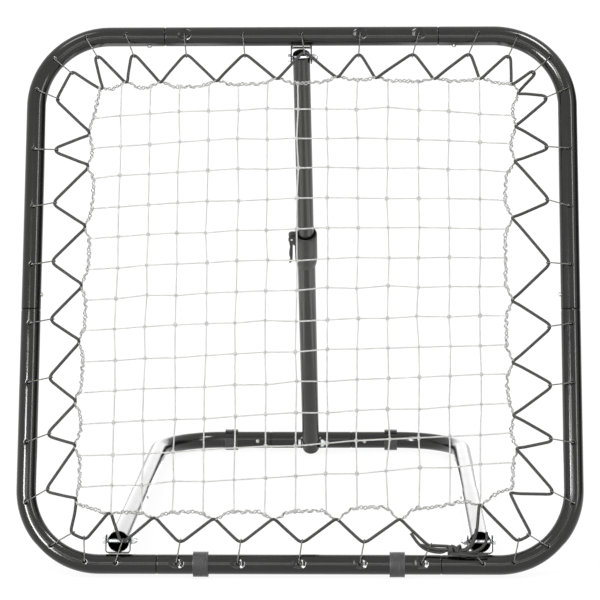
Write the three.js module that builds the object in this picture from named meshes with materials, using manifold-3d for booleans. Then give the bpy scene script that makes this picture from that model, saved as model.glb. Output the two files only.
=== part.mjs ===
// Pitch back rebounder: a square net laced into a tube frame that leans back on a U-shaped base,
// held up from behind by a telescopic strut. Millimetres, +Z up, +X right, the net faces -Y.
import * as THREE from "three";
import { mergeVertices } from "three/addons/utils/BufferGeometryUtils.js";
import Module from "manifold-3d";

const wasm = await Module();
wasm.setup();

// ---- driving dimensions ----

// square front frame, sizes along the tube centreline
const frameSpan = 965;
const cornerRadius = 132.5;
const tubeDiameter = 35;
const tubeWall = 1.5;
const leanAngle = 21;

// hook holes along each side, and the tube joints that lie between them
const hooksPerSide = 7;
const hookEndGap = 29;
const hookPitch = (frameSpan - 2 * cornerRadius - 2 * hookEndGap) / (hooksPerSide - 1);
const sideHookLow = 106;
const topBendShares = [0.21, 0.55, 0.87];
const bottomBendShares = [0.44, 0.12];
const jointBeyondHook = 36;
const straightTubeLength = 2 * (2 * hookPitch + jointBeyondHook);
const sideJointAboveHook = 28;
const sideJointHeight = sideHookLow + 3 * hookPitch + sideJointAboveHook;

// push-together joints
const jointInsert = 48;
const jointTaper = 2;
const fitGap = 0.3;
const buttonSetback = 28;
const buttonDiameter = 8;
const buttonStandOut = 3.4;
const buttonArmLength = 30;
const buttonArmWidth = 9;
const buttonArmThickness = 1.2;

// base
const legDiameter = 38;
const legWall = 1.2;
const legInset = 33;
const legX = frameSpan / 2 - cornerRadius - legInset;
const baseDepth = 1000;
const legJointDepth = 405;
const legNose = 7;
const rearJointSetback = 98.5;
const rearJointX = legX - cornerRadius - rearJointSetback;

// brackets, bolts and nuts
const bracketReach = 41;
const bracketWall = 2.5;
const bracketDepth = 22;
const bracketSideGap = 1;
const notchPastMiddle = 5;
const boltDiameter = 8;
const boltHeadWidth = 13;
const boltHeadHeight = 5.3;
const nutHeight = 8;
const boltTail = 3;

// ring feet clipped on the tubes
const footWidth = 26.5;
const footRadius = 22.5;
const footGrooveDepth = 0.9;
const footSoleDepth = 1;
const footMouthAngle = 50;
const frontFootInset = 42;
const frontFootOffset = 2 * hookPitch - frontFootInset;
const rearFootGap = 1.25;
const rearFootOffset = legX - cornerRadius - footWidth / 2 - rearFootGap;

// telescopic strut, heights measured up its axis from the rear pivot
const lowerStrutDiameter = 35;
const lowerStrutWall = 1.3;
const upperStrutDiameter = 31.8;
const upperStrutWall = 1.5;
const lowerStrutTop = 590;
const lowerStrutFoot = 12;
const plugDomeHeight = 9.5;
const upperStrutLength = 780;
const upperStrutNose = 8;
const pivotSlotTravel = 6;
const pivotSlotShift = 1.2;
const pivotSlotPlay = 0.7;
const pivotSlotFlare = 1;
const guideLength = 40;
const collarBottom = 542;
const collarLength = 84;
const collarDiameter = 44;
const collarTaper = 14;
const leverDrop = 10;
const leverHeight = collarBottom + collarLength - leverDrop;
const leverPinOffset = 27.5;
const leverLength = 68;
const leverWidth = 9;
const camRadius = 8.6;
const lugThickness = 4;
const leverPinDiameter = 4;

// net, lacing hooks and elastic cord
const netCells = 14;
const netSideGap = 96.5;
const netWidth = frameSpan - 2 * netSideGap;
const netEndGap = 84;
const netHeight = frameSpan - 2 * netEndGap;
const twineWidth = 3;
const borderWidth = 5;
const netThickness = 3;
const netDepth = -10;
const hookReach = 40;
const hookWire = 2.3;
const hookSlack = 1.1;
const cordDiameter = 5;

// facet counts
const tubeSides = 16;
const bendSteps = 5;
const buttonSides = 8;
const boltSides = 8;
const hookSides = 4;
const cordSides = 5;

const deg = Math.PI / 180;
const tubeRadius = tubeDiameter / 2;
const maleRadius = tubeRadius - tubeWall - fitGap;
const halfSpan = frameSpan / 2;
// The facets of a bore for a bolt lie outside its true circle, so that the bolt turns freely in it.
const boltBoreRadius = (boltDiameter / 2 + fitGap) / Math.cos(Math.PI / boltSides);
const at = (x, y, z) => new THREE.Vector3(x, y, z);

// ---- helpers for geometry ----

function solid(geometry) {
  const bare = geometry.clone();
  bare.deleteAttribute("normal");
  bare.deleteAttribute("uv");
  const merged = mergeVertices(bare, 1e-4);
  const vertProperties = new Float32Array(merged.attributes.position.array);
  const triVerts = new Uint32Array(merged.index.array);
  return new wasm.Manifold(new wasm.Mesh({ numProp: 3, vertProperties, triVerts }));
}

function geometryOf(manifold) {
  const mesh = manifold.getMesh();
  const geometry = new THREE.BufferGeometry();
  geometry.setAttribute("position", new THREE.BufferAttribute(new Float32Array(mesh.vertProperties), 3));
  geometry.setIndex(new THREE.BufferAttribute(new Uint32Array(mesh.triVerts), 1));
  return geometry;
}

function cut(body, ...tools) {
  return geometryOf(tools.reduce((rest, tool) => rest.subtract(solid(tool)), solid(body)));
}

function join(...bodies) {
  return geometryOf(bodies.map(solid).reduce((whole, body) => whole.add(body)));
}

// A rod of any radius between two points.
function rod(from, to, radius, sides = tubeSides) {
  return sweep([from, to], radius, sides);
}

function box(width, depth, height, x, y, z) {
  return new THREE.BoxGeometry(width, depth, height).translate(x, y, z);
}

// A closed round bar along a polyline, mitred at each point; radii may be one size or one per point.
function sweep(points, radii, sides) {
  const radiusAt = (index) => (Array.isArray(radii) ? radii[index] : radii);
  const first = points[1].clone().sub(points[0]).normalize();
  const helper = Math.abs(first.y) > 0.9 ? new THREE.Vector3(1, 0, 0) : new THREE.Vector3(0, 1, 0);
  const sideways = helper.clone().cross(first).normalize();
  const upward = first.clone().cross(sideways);
  let offsets = [];
  for (let side = 0; side < sides; side += 1) {
    const turn = (side / sides) * 2 * Math.PI;
    offsets.push(sideways.clone().multiplyScalar(Math.cos(turn)).addScaledVector(upward, Math.sin(turn)));
  }
  const positions = [];
  let direction = first;
  points.forEach((point, index) => {
    const last = index === points.length - 1;
    const next = last ? direction : points[index + 1].clone().sub(point).normalize();
    const plane = direction.clone().add(next).normalize();
    offsets = offsets.map((offset) => {
      const slide = offset.dot(plane) / direction.dot(plane);
      const onPlane = offset.clone().addScaledVector(direction, -slide);
      const vertex = point.clone().addScaledVector(onPlane, radiusAt(index));
      positions.push(vertex.x, vertex.y, vertex.z);
      return onPlane.addScaledVector(next, -onPlane.dot(next));
    });
    direction = next;
  });
  const faces = [];
  for (let ring = 0; ring < points.length - 1; ring += 1) {
    for (let side = 0; side < sides; side += 1) {
      const a = ring * sides + side;
      const b = ring * sides + ((side + 1) % sides);
      faces.push(a, b, b + sides, a, b + sides, a + sides);
    }
  }
  const lastRing = (points.length - 1) * sides;
  for (let side = 1; side < sides - 1; side += 1) {
    faces.push(0, side + 1, side);
    faces.push(lastRing, lastRing + side, lastRing + side + 1);
  }
  const geometry = new THREE.BufferGeometry();
  geometry.setAttribute("position", new THREE.Float32BufferAttribute(positions, 3));
  geometry.setIndex(faces);
  return geometry;
}

// A lathe turned about +Z from [radius, height] pairs that start and end on the axis.
function turned(profile, sides = tubeSides) {
  const outline = profile.map(([radius, height]) => new THREE.Vector2(radius, height));
  return new THREE.LatheGeometry(outline, sides).rotateX(Math.PI / 2);
}

// A flat outline in the YZ plane, extruded along X and centred on x.
function plateAcrossX(shape, width, x) {
  const settings = { depth: width, bevelEnabled: false, curveSegments: 4 };
  return new THREE.ExtrudeGeometry(shape, settings)
    .applyMatrix4(new THREE.Matrix4().makeBasis(
      new THREE.Vector3(0, 1, 0), new THREE.Vector3(0, 0, 1), new THREE.Vector3(1, 0, 0)))
    .translate(x - width / 2, 0, 0);
}

// A flat outline in the XZ plane, extruded along Y and centred on y.
function plateAcrossY(shape, width, y, curveSegments = 4) {
  return new THREE.ExtrudeGeometry(shape, { depth: width, bevelEnabled: false, curveSegments })
    .rotateX(Math.PI / 2)
    .translate(0, y + width / 2, 0);
}

// ---- tubes ----

// A hollow tube along a centreline. A male end is reduced beyond its joint so that it slides into a socket.
function hollowTube(centreline, radius, wall, options = {}) {
  const points = centreline.map((point) => point.clone());
  const outer = points.map(() => radius);
  const reduced = options.maleRadius ?? maleRadius;
  const insert = options.insert ?? jointInsert;
  const extend = (end, inside, add, addRadius) => {
    const away = end.clone().sub(inside).normalize();
    const joint = end.clone();
    end.addScaledVector(away, -(jointTaper + fitGap));
    add(joint.clone().addScaledVector(away, -fitGap));
    addRadius(reduced);
    add(joint.clone().addScaledVector(away, insert));
    addRadius(reduced);
  };
  if (options.maleStart) {
    extend(points[0], points[1], (point) => points.unshift(point), (size) => outer.unshift(size));
  }
  if (options.maleEnd) {
    extend(points[points.length - 1], points[points.length - 2],
      (point) => points.push(point), (size) => outer.push(size));
  }
  const bore = points.map((point) => point.clone());
  const inner = outer.map((size) => size - wall);
  const overshoot = 1;
  bore[0].addScaledVector(points[0].clone().sub(points[1]).normalize(), overshoot);
  const last = points.length - 1;
  bore[last].addScaledVector(points[last].clone().sub(points[last - 1]).normalize(), overshoot);
  return cut(sweep(points, outer, tubeSides), sweep(bore, inner, tubeSides), ...(options.holes ?? []));
}

// Centreline of a straight run, a bend of cornerRadius and a second straight run.
function cornerLine(start, corner, end) {
  const toStart = start.clone().sub(corner).normalize();
  const toEnd = end.clone().sub(corner).normalize();
  const centre = corner.clone().addScaledVector(toStart, cornerRadius).addScaledVector(toEnd, cornerRadius);
  const line = [start.clone()];
  for (let step = 0; step <= bendSteps; step += 1) {
    const turn = (step / bendSteps) * (Math.PI / 2);
    line.push(centre.clone()
      .addScaledVector(toEnd, -cornerRadius * Math.cos(turn))
      .addScaledVector(toStart, -cornerRadius * Math.sin(turn)));
  }
  line.push(end.clone());
  return line;
}

// Snap buttons: each joint lists where its button is, which way it faces and which way its tube runs.
const buttonHole = (spot, facing) => rod(spot, spot.clone().addScaledVector(facing, tubeDiameter),
  buttonDiameter / 2 + fitGap, buttonSides);

function snapButton(spot, facing, along, boreRadius) {
  const top = tubeRadius + buttonStandOut;
  const seat = boreRadius - fitGap;
  const head = sweep([
    spot.clone().addScaledVector(facing, seat - buttonArmThickness / 2),
    spot.clone().addScaledVector(facing, top - 1.4),
    spot.clone().addScaledVector(facing, top),
  ], [buttonDiameter / 2, buttonDiameter / 2, buttonDiameter / 2 - 1.6], buttonSides);
  const across = facing.clone().cross(along).normalize();
  const arm = new THREE.BoxGeometry(buttonArmWidth, buttonArmThickness, buttonArmLength);
  const drop = seat - 1.6 - buttonArmThickness / 2;
  const middle = spot.clone().addScaledVector(facing, drop)
    .addScaledVector(along, buttonArmLength / 2 - buttonDiameter);
  arm.applyMatrix4(new THREE.Matrix4().makeBasis(across, facing, across.clone().cross(facing)));
  arm.translate(middle.x, middle.y, middle.z);
  const stem = rod(spot.clone().addScaledVector(facing, drop),
    spot.clone().addScaledVector(facing, seat), buttonDiameter / 2, buttonSides);
  return join(head, stem, arm);
}

const topZ = frameSpan;
const jointX = straightTubeLength / 2;
const buttonX = jointX + buttonSetback;
const sideButtonZ = sideJointHeight + buttonSetback;
const frameButtons = [
  { name: "top_left", spot: at(-buttonX, 0, topZ), facing: at(0, 0, -1), along: at(1, 0, 0) },
  { name: "top_right", spot: at(buttonX, 0, topZ), facing: at(0, 0, -1), along: at(-1, 0, 0) },
  { name: "side_left", spot: at(-halfSpan, 0, sideButtonZ), facing: at(1, 0, 0), along: at(0, 0, -1) },
  { name: "side_right", spot: at(halfSpan, 0, sideButtonZ), facing: at(-1, 0, 0), along: at(0, 0, -1) },
  { name: "bottom_left", spot: at(-buttonX, 0, 0), facing: at(0, 1, 0), along: at(1, 0, 0) },
  { name: "bottom_right", spot: at(buttonX, 0, 0), facing: at(0, 1, 0), along: at(-1, 0, 0) },
];
const frameButtonHoles = frameButtons.map((button) => buttonHole(button.spot, button.facing));

// ---- lacing hooks: one in each hole round the front face of the frame ----

const bendShare = (share) => {
  const turn = share * (Math.PI / 2);
  return { along: cornerRadius * (1 - Math.cos(turn)), across: cornerRadius * (1 - Math.sin(turn)) };
};

// Hook holes run clockwise, seen from the front, from the left end of the top tube.
const hookHoles = [];
for (let step = -3; step <= 3; step += 1) hookHoles.push({ x: step * hookPitch, z: topZ, inward: [0, -1] });
for (const share of topBendShares) {
  const bend = bendShare(share);
  const turn = share * (Math.PI / 2);
  const inward = [-Math.sin(turn), -Math.cos(turn)];
  hookHoles.push({ x: halfSpan - bend.across, z: topZ - bend.along, inward });
}
for (let step = hooksPerSide - 1; step >= 0; step -= 1) {
  hookHoles.push({ x: halfSpan, z: sideHookLow + step * hookPitch, inward: [-1, 0] });
}
for (const share of bottomBendShares) {
  const bend = bendShare(share);
  const turn = share * (Math.PI / 2);
  const inward = [-Math.sin(turn), Math.cos(turn)];
  hookHoles.push({ x: halfSpan - bend.across, z: bend.along, inward });
}
for (let step = 3; step >= -3; step -= 1) hookHoles.push({ x: step * hookPitch, z: 0, inward: [0, 1] });
const rightHooks = hookHoles.slice(hooksPerSide, -hooksPerSide).reverse();
for (const hole of rightHooks) {
  const [across, upward] = hole.inward;
  hookHoles.push({ x: -hole.x, z: hole.z, inward: [-across, upward] });
}

// Where the elastic cord rounds the net's edge between one hook and the next, chosen by eye. Each entry is
// the hook it follows, the side of the net and the share along that side: of the half width from the middle
// for the top and bottom, of the height from below for the left and right.
const edgeTurns = [
  [0, "top", -0.668], [1, "top", -0.394], [2, "top", -0.109], [3, "top", 0.168], [4, "top", 0.347],
  [5, "top", 0.630], [6, "top", 0.824], [7, "top", 0.964], [8, "right", 0.964], [9, "right", 0.890],
  [10, "right", 0.808], [11, "right", 0.674], [12, "right", 0.484], [13, "right", 0.344],
  [14, "right", 0.225], [15, "right", 0.156], [16, "right", 0.051], [18, "bottom", 0.824],
  [20, "bottom", 0.461], [21, "bottom", 0.171], [22, "bottom", -0.114], [23, "bottom", -0.378],
  [24, "bottom", -0.648], [25, "bottom", -0.886], [27, "left", 0.035], [28, "left", 0.158],
  [29, "left", 0.255], [30, "left", 0.391], [31, "left", 0.519], [32, "left", 0.655],
  [33, "left", 0.803], [34, "left", 0.888], [36, "top", -0.930], [37, "top", -0.806],
];
const edgeInset = 8;
const netBottom = halfSpan - netHeight / 2;
const netTop = halfSpan + netHeight / 2;
const halfNet = netWidth / 2;
const sides = {
  top: { spot: (share) => [share * halfNet, netTop - edgeInset], out: [0, 1] },
  right: { spot: (share) => [halfNet - edgeInset, netBottom + share * netHeight], out: [1, 0] },
  bottom: { spot: (share) => [share * halfNet, netBottom + edgeInset], out: [0, -1] },
  left: { spot: (share) => [-halfNet + edgeInset, netBottom + share * netHeight], out: [-1, 0] },
};
const turnAfter = new Map();
for (const [hook, side, share] of edgeTurns) turnAfter.set(hook, { side, spot: sides[side].spot(share) });

// The tied end by the right leg: its hook and the next one hold the cord lower than the others do.
const tieHook = 19;
const nextHook = 20;
const apexByHand = { 19: [legX - 16, 31], 20: [legX - 85, 33] };
// Hooks that hold the cord further forward, clear of the strut's end, the legs' ends and the net's corner.
const depthByHand = { 3: -23.4, 19: -16, 25: -17.5, 36: -5 };
const waypointBefore = { 25: at(-legX - 14, -18, 62) };

// A hook leans towards the cord that pulls it, so its tip lies towards the two nearest edge turns.
const hooks = hookHoles.map((hole, index) => {
  const byHand = apexByHand[index];
  const depth = depthByHand[index] ?? netDepth;
  if (byHand) return { ...hole, index, depth, tip: byHand };
  const before = turnAfter.get((index + hookHoles.length - 1) % hookHoles.length);
  const after = turnAfter.get(index);
  const pulls = [before, after].filter(Boolean).map((turn) => turn.spot);
  const middle = [0, 1].map((axis) => pulls.reduce((sum, spot) => sum + spot[axis], 0) / pulls.length);
  const pull = new THREE.Vector2(middle[0] - hole.x, middle[1] - hole.z);
  const straight = pull.x * hole.inward[0] + pull.y * hole.inward[1];
  const tip = [hole.x + (pull.x * hookReach) / straight, hole.z + (pull.y * hookReach) / straight];
  const share = pulls.length === 1 ? 0.35 : 1;
  const plain = [hole.x + hole.inward[0] * hookReach, hole.z + hole.inward[1] * hookReach];
  const eased = tip.map((value, axis) => plain[axis] + (value - plain[axis]) * share);
  return { ...hole, index, depth, tip: eased };
});

// A wire hook: out of its hole, across the tube's front edge and round the cord.
function hookWireSolid(hook) {
  const run = at(hook.tip[0] - hook.x, 0, hook.tip[1] - hook.z);
  const length = run.length();
  const along = run.normalize();
  const curl = (cordDiameter + hookWire) / 2 + hookSlack;
  const place = (distance, depth) => at(hook.x, depth, hook.z).addScaledVector(along, distance);
  const front = -tubeRadius - hookWire / 2 - 0.6;
  const points = [place(0, -tubeRadius + tubeWall + 1.5), place(0, front)];
  points.push(place(length - 1.5, hook.depth - curl));
  for (let step = 1; step <= 3; step += 1) {
    const turn = (-0.5 + step / 3) * Math.PI;
    points.push(place(length + curl * Math.cos(turn), hook.depth + curl * Math.sin(turn)));
  }
  return sweep(points, hookWire / 2, hookSides);
}

const hookSolids = hooks.map(hookWireSolid);
const hooksWhere = (test) => hookSolids.filter((_, index) => test(hooks[index]));

// ---- front frame pieces, in the frame's own plane: x across, z up the net, y out of its back ----

const straightHolds = (hook, z) => Math.abs(hook.z - z) < 1 && Math.abs(hook.x) < jointX;
const frameHole = (names) => frameButtons
  .map((button, index) => (names.includes(button.name) ? frameButtonHoles[index] : null))
  .filter(Boolean);

function straightFrameTube(z, row) {
  const line = [at(-jointX, 0, z), at(jointX, 0, z)];
  const tube = hollowTube(line, tubeRadius, tubeWall,
    { maleStart: true, maleEnd: true, holes: frameHole([`${row}_left`, `${row}_right`]) });
  return join(tube, ...hooksWhere((hook) => straightHolds(hook, z)));
}

function cornerFrameTube(side, row) {
  const sign = side === "left" ? -1 : 1;
  const z = row === "top" ? topZ : 0;
  const corner = at(sign * halfSpan, 0, z);
  const line = cornerLine(at(sign * jointX, 0, z), corner, at(sign * halfSpan, 0, sideJointHeight));
  const tube = hollowTube(line, tubeRadius, tubeWall,
    { maleEnd: row === "bottom", holes: frameHole([`${row}_${side}`, `side_${side}`]) });
  const owns = (hook) => Math.sign(hook.x) === sign && !straightHolds(hook, z)
    && (row === "top" ? hook.z > sideJointHeight : hook.z < sideJointHeight);
  return join(tube, ...hooksWhere(owns));
}

// A U-bracket: its web lies on a tube whose axis is at the origin, its cheeks reach up to the pivot.
// Where the strut's end swings close to the web, that side of the web is notched away.
function uBracket(innerWidth, x, notchSide = 0) {
  const outerWidth = innerWidth + 2 * bracketWall;
  const foot = tubeRadius + fitGap;
  const half = bracketDepth / 2;
  const cheek = new THREE.Shape();
  cheek.moveTo(-half, foot);
  cheek.lineTo(half, foot);
  cheek.lineTo(half, bracketReach);
  cheek.absarc(0, bracketReach, half, 0, Math.PI, false);
  cheek.lineTo(-half, foot);
  const room = box(innerWidth, bracketDepth + 2, bracketReach + bracketDepth, x, 0,
    foot + bracketWall + (bracketReach + bracketDepth) / 2);
  const boltBore = rod(at(x - outerWidth, 0, bracketReach), at(x + outerWidth, 0, bracketReach),
    boltBoreRadius, boltSides);
  const tools = [room, boltBore];
  if (notchSide !== 0) {
    const notchDepth = half + notchPastMiddle;
    tools.push(box(innerWidth, notchDepth, 2 * bracketWall + 2, x,
      notchSide * (half + 1 - notchDepth / 2 - 1) + notchSide * 0.5, foot + bracketWall / 2));
  }
  return cut(plateAcrossX(cheek, outerWidth, x), ...tools);
}

// A hexagon bolt along X and its lock nut; the head is on the side that sign gives.
function pivotBolt(x, z, outerWidth, sign) {
  const face = outerWidth / 2 + 0.05;
  const tail = at(x - sign * (face + nutHeight + boltTail), 0, z);
  const shank = rod(tail, at(x + sign * face, 0, z), boltDiameter / 2, boltSides);
  const head = sweep([at(x + sign * face, 0, z), at(x + sign * (face + boltHeadHeight - 1), 0, z),
    at(x + sign * (face + boltHeadHeight), 0, z)],
  [boltHeadWidth / Math.sqrt(3), boltHeadWidth / Math.sqrt(3), boltHeadWidth / 2 - 0.6], 6);
  return join(shank, head);
}

function lockNut(x, z, outerWidth, sign) {
  const face = outerWidth / 2 + 0.05;
  const place = (distance) => at(x - sign * (face + distance), 0, z);
  const hexagon = sweep([place(0), place(nutHeight - 2.2)], boltHeadWidth / Math.sqrt(3), 6);
  const dome = sweep([place(nutHeight - 2.8), place(nutHeight)], boltHeadWidth / 2 - 0.8, boltSides);
  const thread = rod(place(-1), place(nutHeight + 1), boltBoreRadius, boltSides);
  return cut(join(hexagon, dome), thread);
}

// A grooved plastic ring, open on one side so that it snaps over the tube, with a flat sole.
function ringFoot(x, soleTurn) {
  const bore = tubeRadius + fitGap;
  const half = footWidth / 2;
  const outline = [[bore, -half], [footRadius, -half]];
  const grooves = 2;
  for (let groove = 1; groove <= grooves; groove += 1) {
    const centre = -half + (groove * footWidth) / (grooves + 1);
    outline.push([footRadius, centre - 1.4]);
    outline.push([footRadius - footGrooveDepth, centre]);
    outline.push([footRadius, centre + 1.4]);
  }
  outline.push([footRadius, half], [bore, half], [bore, -half]);
  const ringSides = 16;
  const profile = outline.map(([radius, height]) => new THREE.Vector2(radius, height));
  const ring = new THREE.LatheGeometry(profile, ringSides).rotateZ(-Math.PI / 2);
  const soleZ = -footRadius + footSoleDepth - footRadius / 2;
  const sole = box(footWidth + 2, 4 * footRadius, footRadius, 0, 0, soleZ);
  sole.rotateX(soleTurn);
  const mouth = new THREE.Shape();
  const reach = 2 * footRadius;
  mouth.moveTo(0, 0);
  for (const side of [-1, 1]) {
    const turn = (135 + (side * footMouthAngle) / 2) * deg;
    mouth.lineTo(reach * Math.cos(turn), reach * Math.sin(turn));
  }
  mouth.closePath();
  const opening = plateAcrossX(mouth, footWidth + 2, 0);
  opening.rotateX(soleTurn - Math.PI / 2);
  return cut(ring, sole, opening).translate(x, 0, 0);
}

// ---- net ----

// The crossing lines of the net, as the edges of its twines and gaps along one direction.
function netEdges(extent) {
  const edges = [];
  for (let line = 0; line <= netCells; line += 1) {
    const middle = -extent / 2 + (line * extent) / netCells;
    const half = line === 0 || line === netCells ? borderWidth / 2 : twineWidth / 2;
    edges.push(middle - half, middle + half);
  }
  return edges;
}

// The net as one sheet: a grid of flat patches, with walls round each gap and round the border.
function netSolid() {
  const across = netEdges(netWidth);
  const upward = netEdges(netHeight);
  const positions = [];
  for (const y of [-netThickness / 2, netThickness / 2]) {
    for (const z of upward) {
      for (const x of across) positions.push(x, y, z);
    }
  }
  const layer = across.length * upward.length;
  const corner = (column, row, back) => back * layer + row * across.length + column;
  const filled = (column, row) => column >= 0 && row >= 0 && column < across.length - 1
    && row < upward.length - 1 && !(column % 2 === 1 && row % 2 === 1);
  const faces = [];
  const patch = (a, b, c, d) => faces.push(a, b, c, a, c, d);
  const wall = (from, to) => {
    patch(corner(...from, 0), corner(...from, 1), corner(...to, 1), corner(...to, 0));
  };
  for (let column = 0; column < across.length - 1; column += 1) {
    for (let row = 0; row < upward.length - 1; row += 1) {
      if (!filled(column, row)) continue;
      const ring = [[column, row], [column + 1, row], [column + 1, row + 1], [column, row + 1]];
      patch(...ring.map(([c, r]) => corner(c, r, 0)));
      patch(...ring.map(([c, r]) => corner(c, r, 1)).reverse());
      if (!filled(column, row - 1)) wall(ring[0], ring[1]);
      if (!filled(column + 1, row)) wall(ring[1], ring[2]);
      if (!filled(column, row + 1)) wall(ring[2], ring[3]);
      if (!filled(column - 1, row)) wall(ring[3], ring[0]);
    }
  }
  const sheet = new THREE.BufferGeometry();
  sheet.setAttribute("position", new THREE.Float32BufferAttribute(positions, 3));
  sheet.setIndex(faces);
  return sheet.translate(0, netDepth, halfSpan);
}

// ---- elastic cord: one unbroken length, tied off beside the right leg ----

// The tied end's spots are set by their distance inwards from the right leg, their depth and their height.
const tailSpots = [[119, -10, 53], [109, -10, 38], [95, -10, 26], [77, -12, 23.5]];
const knotAxis = { y: -17.5, z: 25.5, from: legX - 65, to: legX - 27 };
const knotExit = at(legX - 6, -18, 56);
const knotTurns = 4;
const knotRadius = cordDiameter + 1;
const knotPitch = cordDiameter + 1;
const crossing = netThickness / 2 + cordDiameter / 2 + fitGap;
const edgeHalfTurn = 2.5;
const hookHalfTurn = 4.2;
const tieSlant = at(0.85, 0, 0.52);

function cordRoute() {
  const tail = tailSpots.map(([inwards, depth, height]) => at(legX - inwards, depth, height));
  const core = [at(knotAxis.from, knotAxis.y, knotAxis.z), at(knotAxis.to, knotAxis.y, knotAxis.z)];
  const route = [...tail, ...core];
  const order = [];
  for (let index = tieHook; index >= 0; index -= 1) order.push(index);
  for (let index = hooks.length - 1; index >= nextHook; index -= 1) order.push(index);
  order.forEach((index, position) => {
    const hook = hooks[index];
    const clockwise = at(-hook.inward[1], 0, hook.inward[0]);
    const tip = at(hook.tip[0], hook.depth, hook.tip[1]);
    if (waypointBefore[index]) route.push(waypointBefore[index].clone());
    const slant = index === tieHook ? at(-tieSlant.x, 0, -tieSlant.z) : clockwise;
    route.push(tip.clone().addScaledVector(slant, hookHalfTurn));
    route.push(tip.clone().addScaledVector(slant, -hookHalfTurn));
    if (index === tieHook) route.push(knotExit.clone());
    const following = order[position + 1];
    const turn = following === undefined ? null : turnAfter.get(following);
    if (!turn) return;
    const out = at(sides[turn.side].out[0], 0, sides[turn.side].out[1]);
    const tangent = at(-out.z, 0, out.x);
    const spot = at(turn.spot[0], netDepth, turn.spot[1]);
    const nextTip = at(hooks[following].tip[0], hooks[following].depth, hooks[following].tip[1]);
    const rise = edgeInset + borderWidth / 2 + 2;
    const towards = (goal, depth) => {
      const away = goal.clone().sub(spot).setY(0);
      const share = Math.min(rise / Math.abs(away.dot(out)), 0.4);
      return spot.clone().addScaledVector(away, share).setY(depth);
    };
    route.push(towards(tip, netDepth - crossing));
    route.push(spot.clone().addScaledVector(tangent, -edgeHalfTurn).setY(netDepth - crossing));
    route.push(spot.clone().addScaledVector(tangent, edgeHalfTurn).setY(netDepth + crossing));
    route.push(towards(nextTip, netDepth + crossing));
  });
  const coilSteps = 7;
  for (let step = 0; step <= knotTurns * coilSteps; step += 1) {
    const turn = (step / coilSteps) * 2 * Math.PI;
    route.push(at(knotAxis.from + 3 + (step / coilSteps) * knotPitch,
      knotAxis.y - knotRadius * Math.sin(turn), knotAxis.z + knotRadius * Math.cos(turn)));
  }
  return route;
}

// Least distance between stretches of the cord that don't follow one another, less its diameter.
function leastSelfGap(route) {
  const spacing = 2;
  const spots = [];
  let travelled = 0;
  for (let index = 1; index < route.length; index += 1) {
    const length = route[index].distanceTo(route[index - 1]);
    const steps = Math.max(1, Math.ceil(length / spacing));
    for (let step = 0; step < steps; step += 1) {
      const share = step / steps;
      const point = route[index - 1].clone().lerp(route[index], share);
      spots.push({ point, travelled: travelled + share * length });
    }
    travelled += length;
  }
  let least = Infinity;
  for (let first = 0; first < spots.length; first += 1) {
    for (let second = first + 1; second < spots.length; second += 1) {
      if (spots[second].travelled - spots[first].travelled < 4 * cordDiameter) continue;
      least = Math.min(least, spots[first].point.distanceTo(spots[second].point));
    }
  }
  return least - cordDiameter;
}

// ---- telescopic strut, along +Z from the rear pivot ----

function lowerStrutTube() {
  const line = [at(0, 0, -lowerStrutFoot), at(0, 0, lowerStrutTop)];
  const pin = rod(at(-lowerStrutDiameter, 0, 0), at(lowerStrutDiameter, 0, 0), boltBoreRadius, boltSides);
  return hollowTube(line, lowerStrutDiameter / 2, lowerStrutWall, { holes: [pin] });
}

function strutEndPlug() {
  const radius = lowerStrutDiameter / 2;
  const spigot = radius - lowerStrutWall - fitGap;
  const spigotTop = -boltBoreRadius - 2;
  const profile = [[0, spigotTop], [spigot, spigotTop], [spigot, -lowerStrutFoot]];
  profile.push([radius, -lowerStrutFoot - fitGap]);
  const domeSteps = 3;
  for (let step = 1; step < domeSteps; step += 1) {
    const turn = (step / domeSteps) * (Math.PI / 2);
    profile.push([radius * Math.cos(turn), -lowerStrutFoot - fitGap - plugDomeHeight * Math.sin(turn)]);
  }
  profile.push([0, -lowerStrutFoot - fitGap - plugDomeHeight]);
  return turned(profile.reverse());
}

// The bolt that holds the strut's head has play in a flared slot, round the arc that the head swings through.
function pivotSlot(length) {
  const small = boltDiameter / 2 + pivotSlotPlay;
  const large = small + pivotSlotFlare;
  const apart = Math.hypot(pivotSlotTravel, pivotSlotShift);
  const heading = Math.atan2(-pivotSlotTravel, -pivotSlotShift);
  const half = Math.PI / 2 + Math.asin((large - small) / apart);
  const outline = new THREE.Shape();
  outline.absarc(-pivotSlotShift, length - pivotSlotTravel, large, heading - half, heading + half, false);
  outline.absarc(0, length, small, heading + half, heading + 2 * Math.PI - half, false);
  outline.closePath();
  return plateAcrossX(outline, 2 * upperStrutDiameter, 0);
}

function upperStrutTube(length) {
  const top = length + upperStrutNose;
  const line = [at(0, 0, top - upperStrutLength), at(0, 0, top)];
  return hollowTube(line, upperStrutDiameter / 2, upperStrutWall, { holes: [pivotSlot(length)] });
}

// A plastic guide on the hidden end of the upper tube keeps it centred in the lower one.
function strutGuide(length) {
  const end = length + upperStrutNose - upperStrutLength;
  const spigot = upperStrutDiameter / 2 - upperStrutWall - fitGap;
  const sliding = lowerStrutDiameter / 2 - lowerStrutWall - 0.1;
  const flange = 6;
  return turned([[0, end - flange], [sliding, end - flange], [sliding, end - fitGap],
    [spigot, end - fitGap], [spigot, end + guideLength - flange], [0, end + guideLength - flange]]);
}

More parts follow.
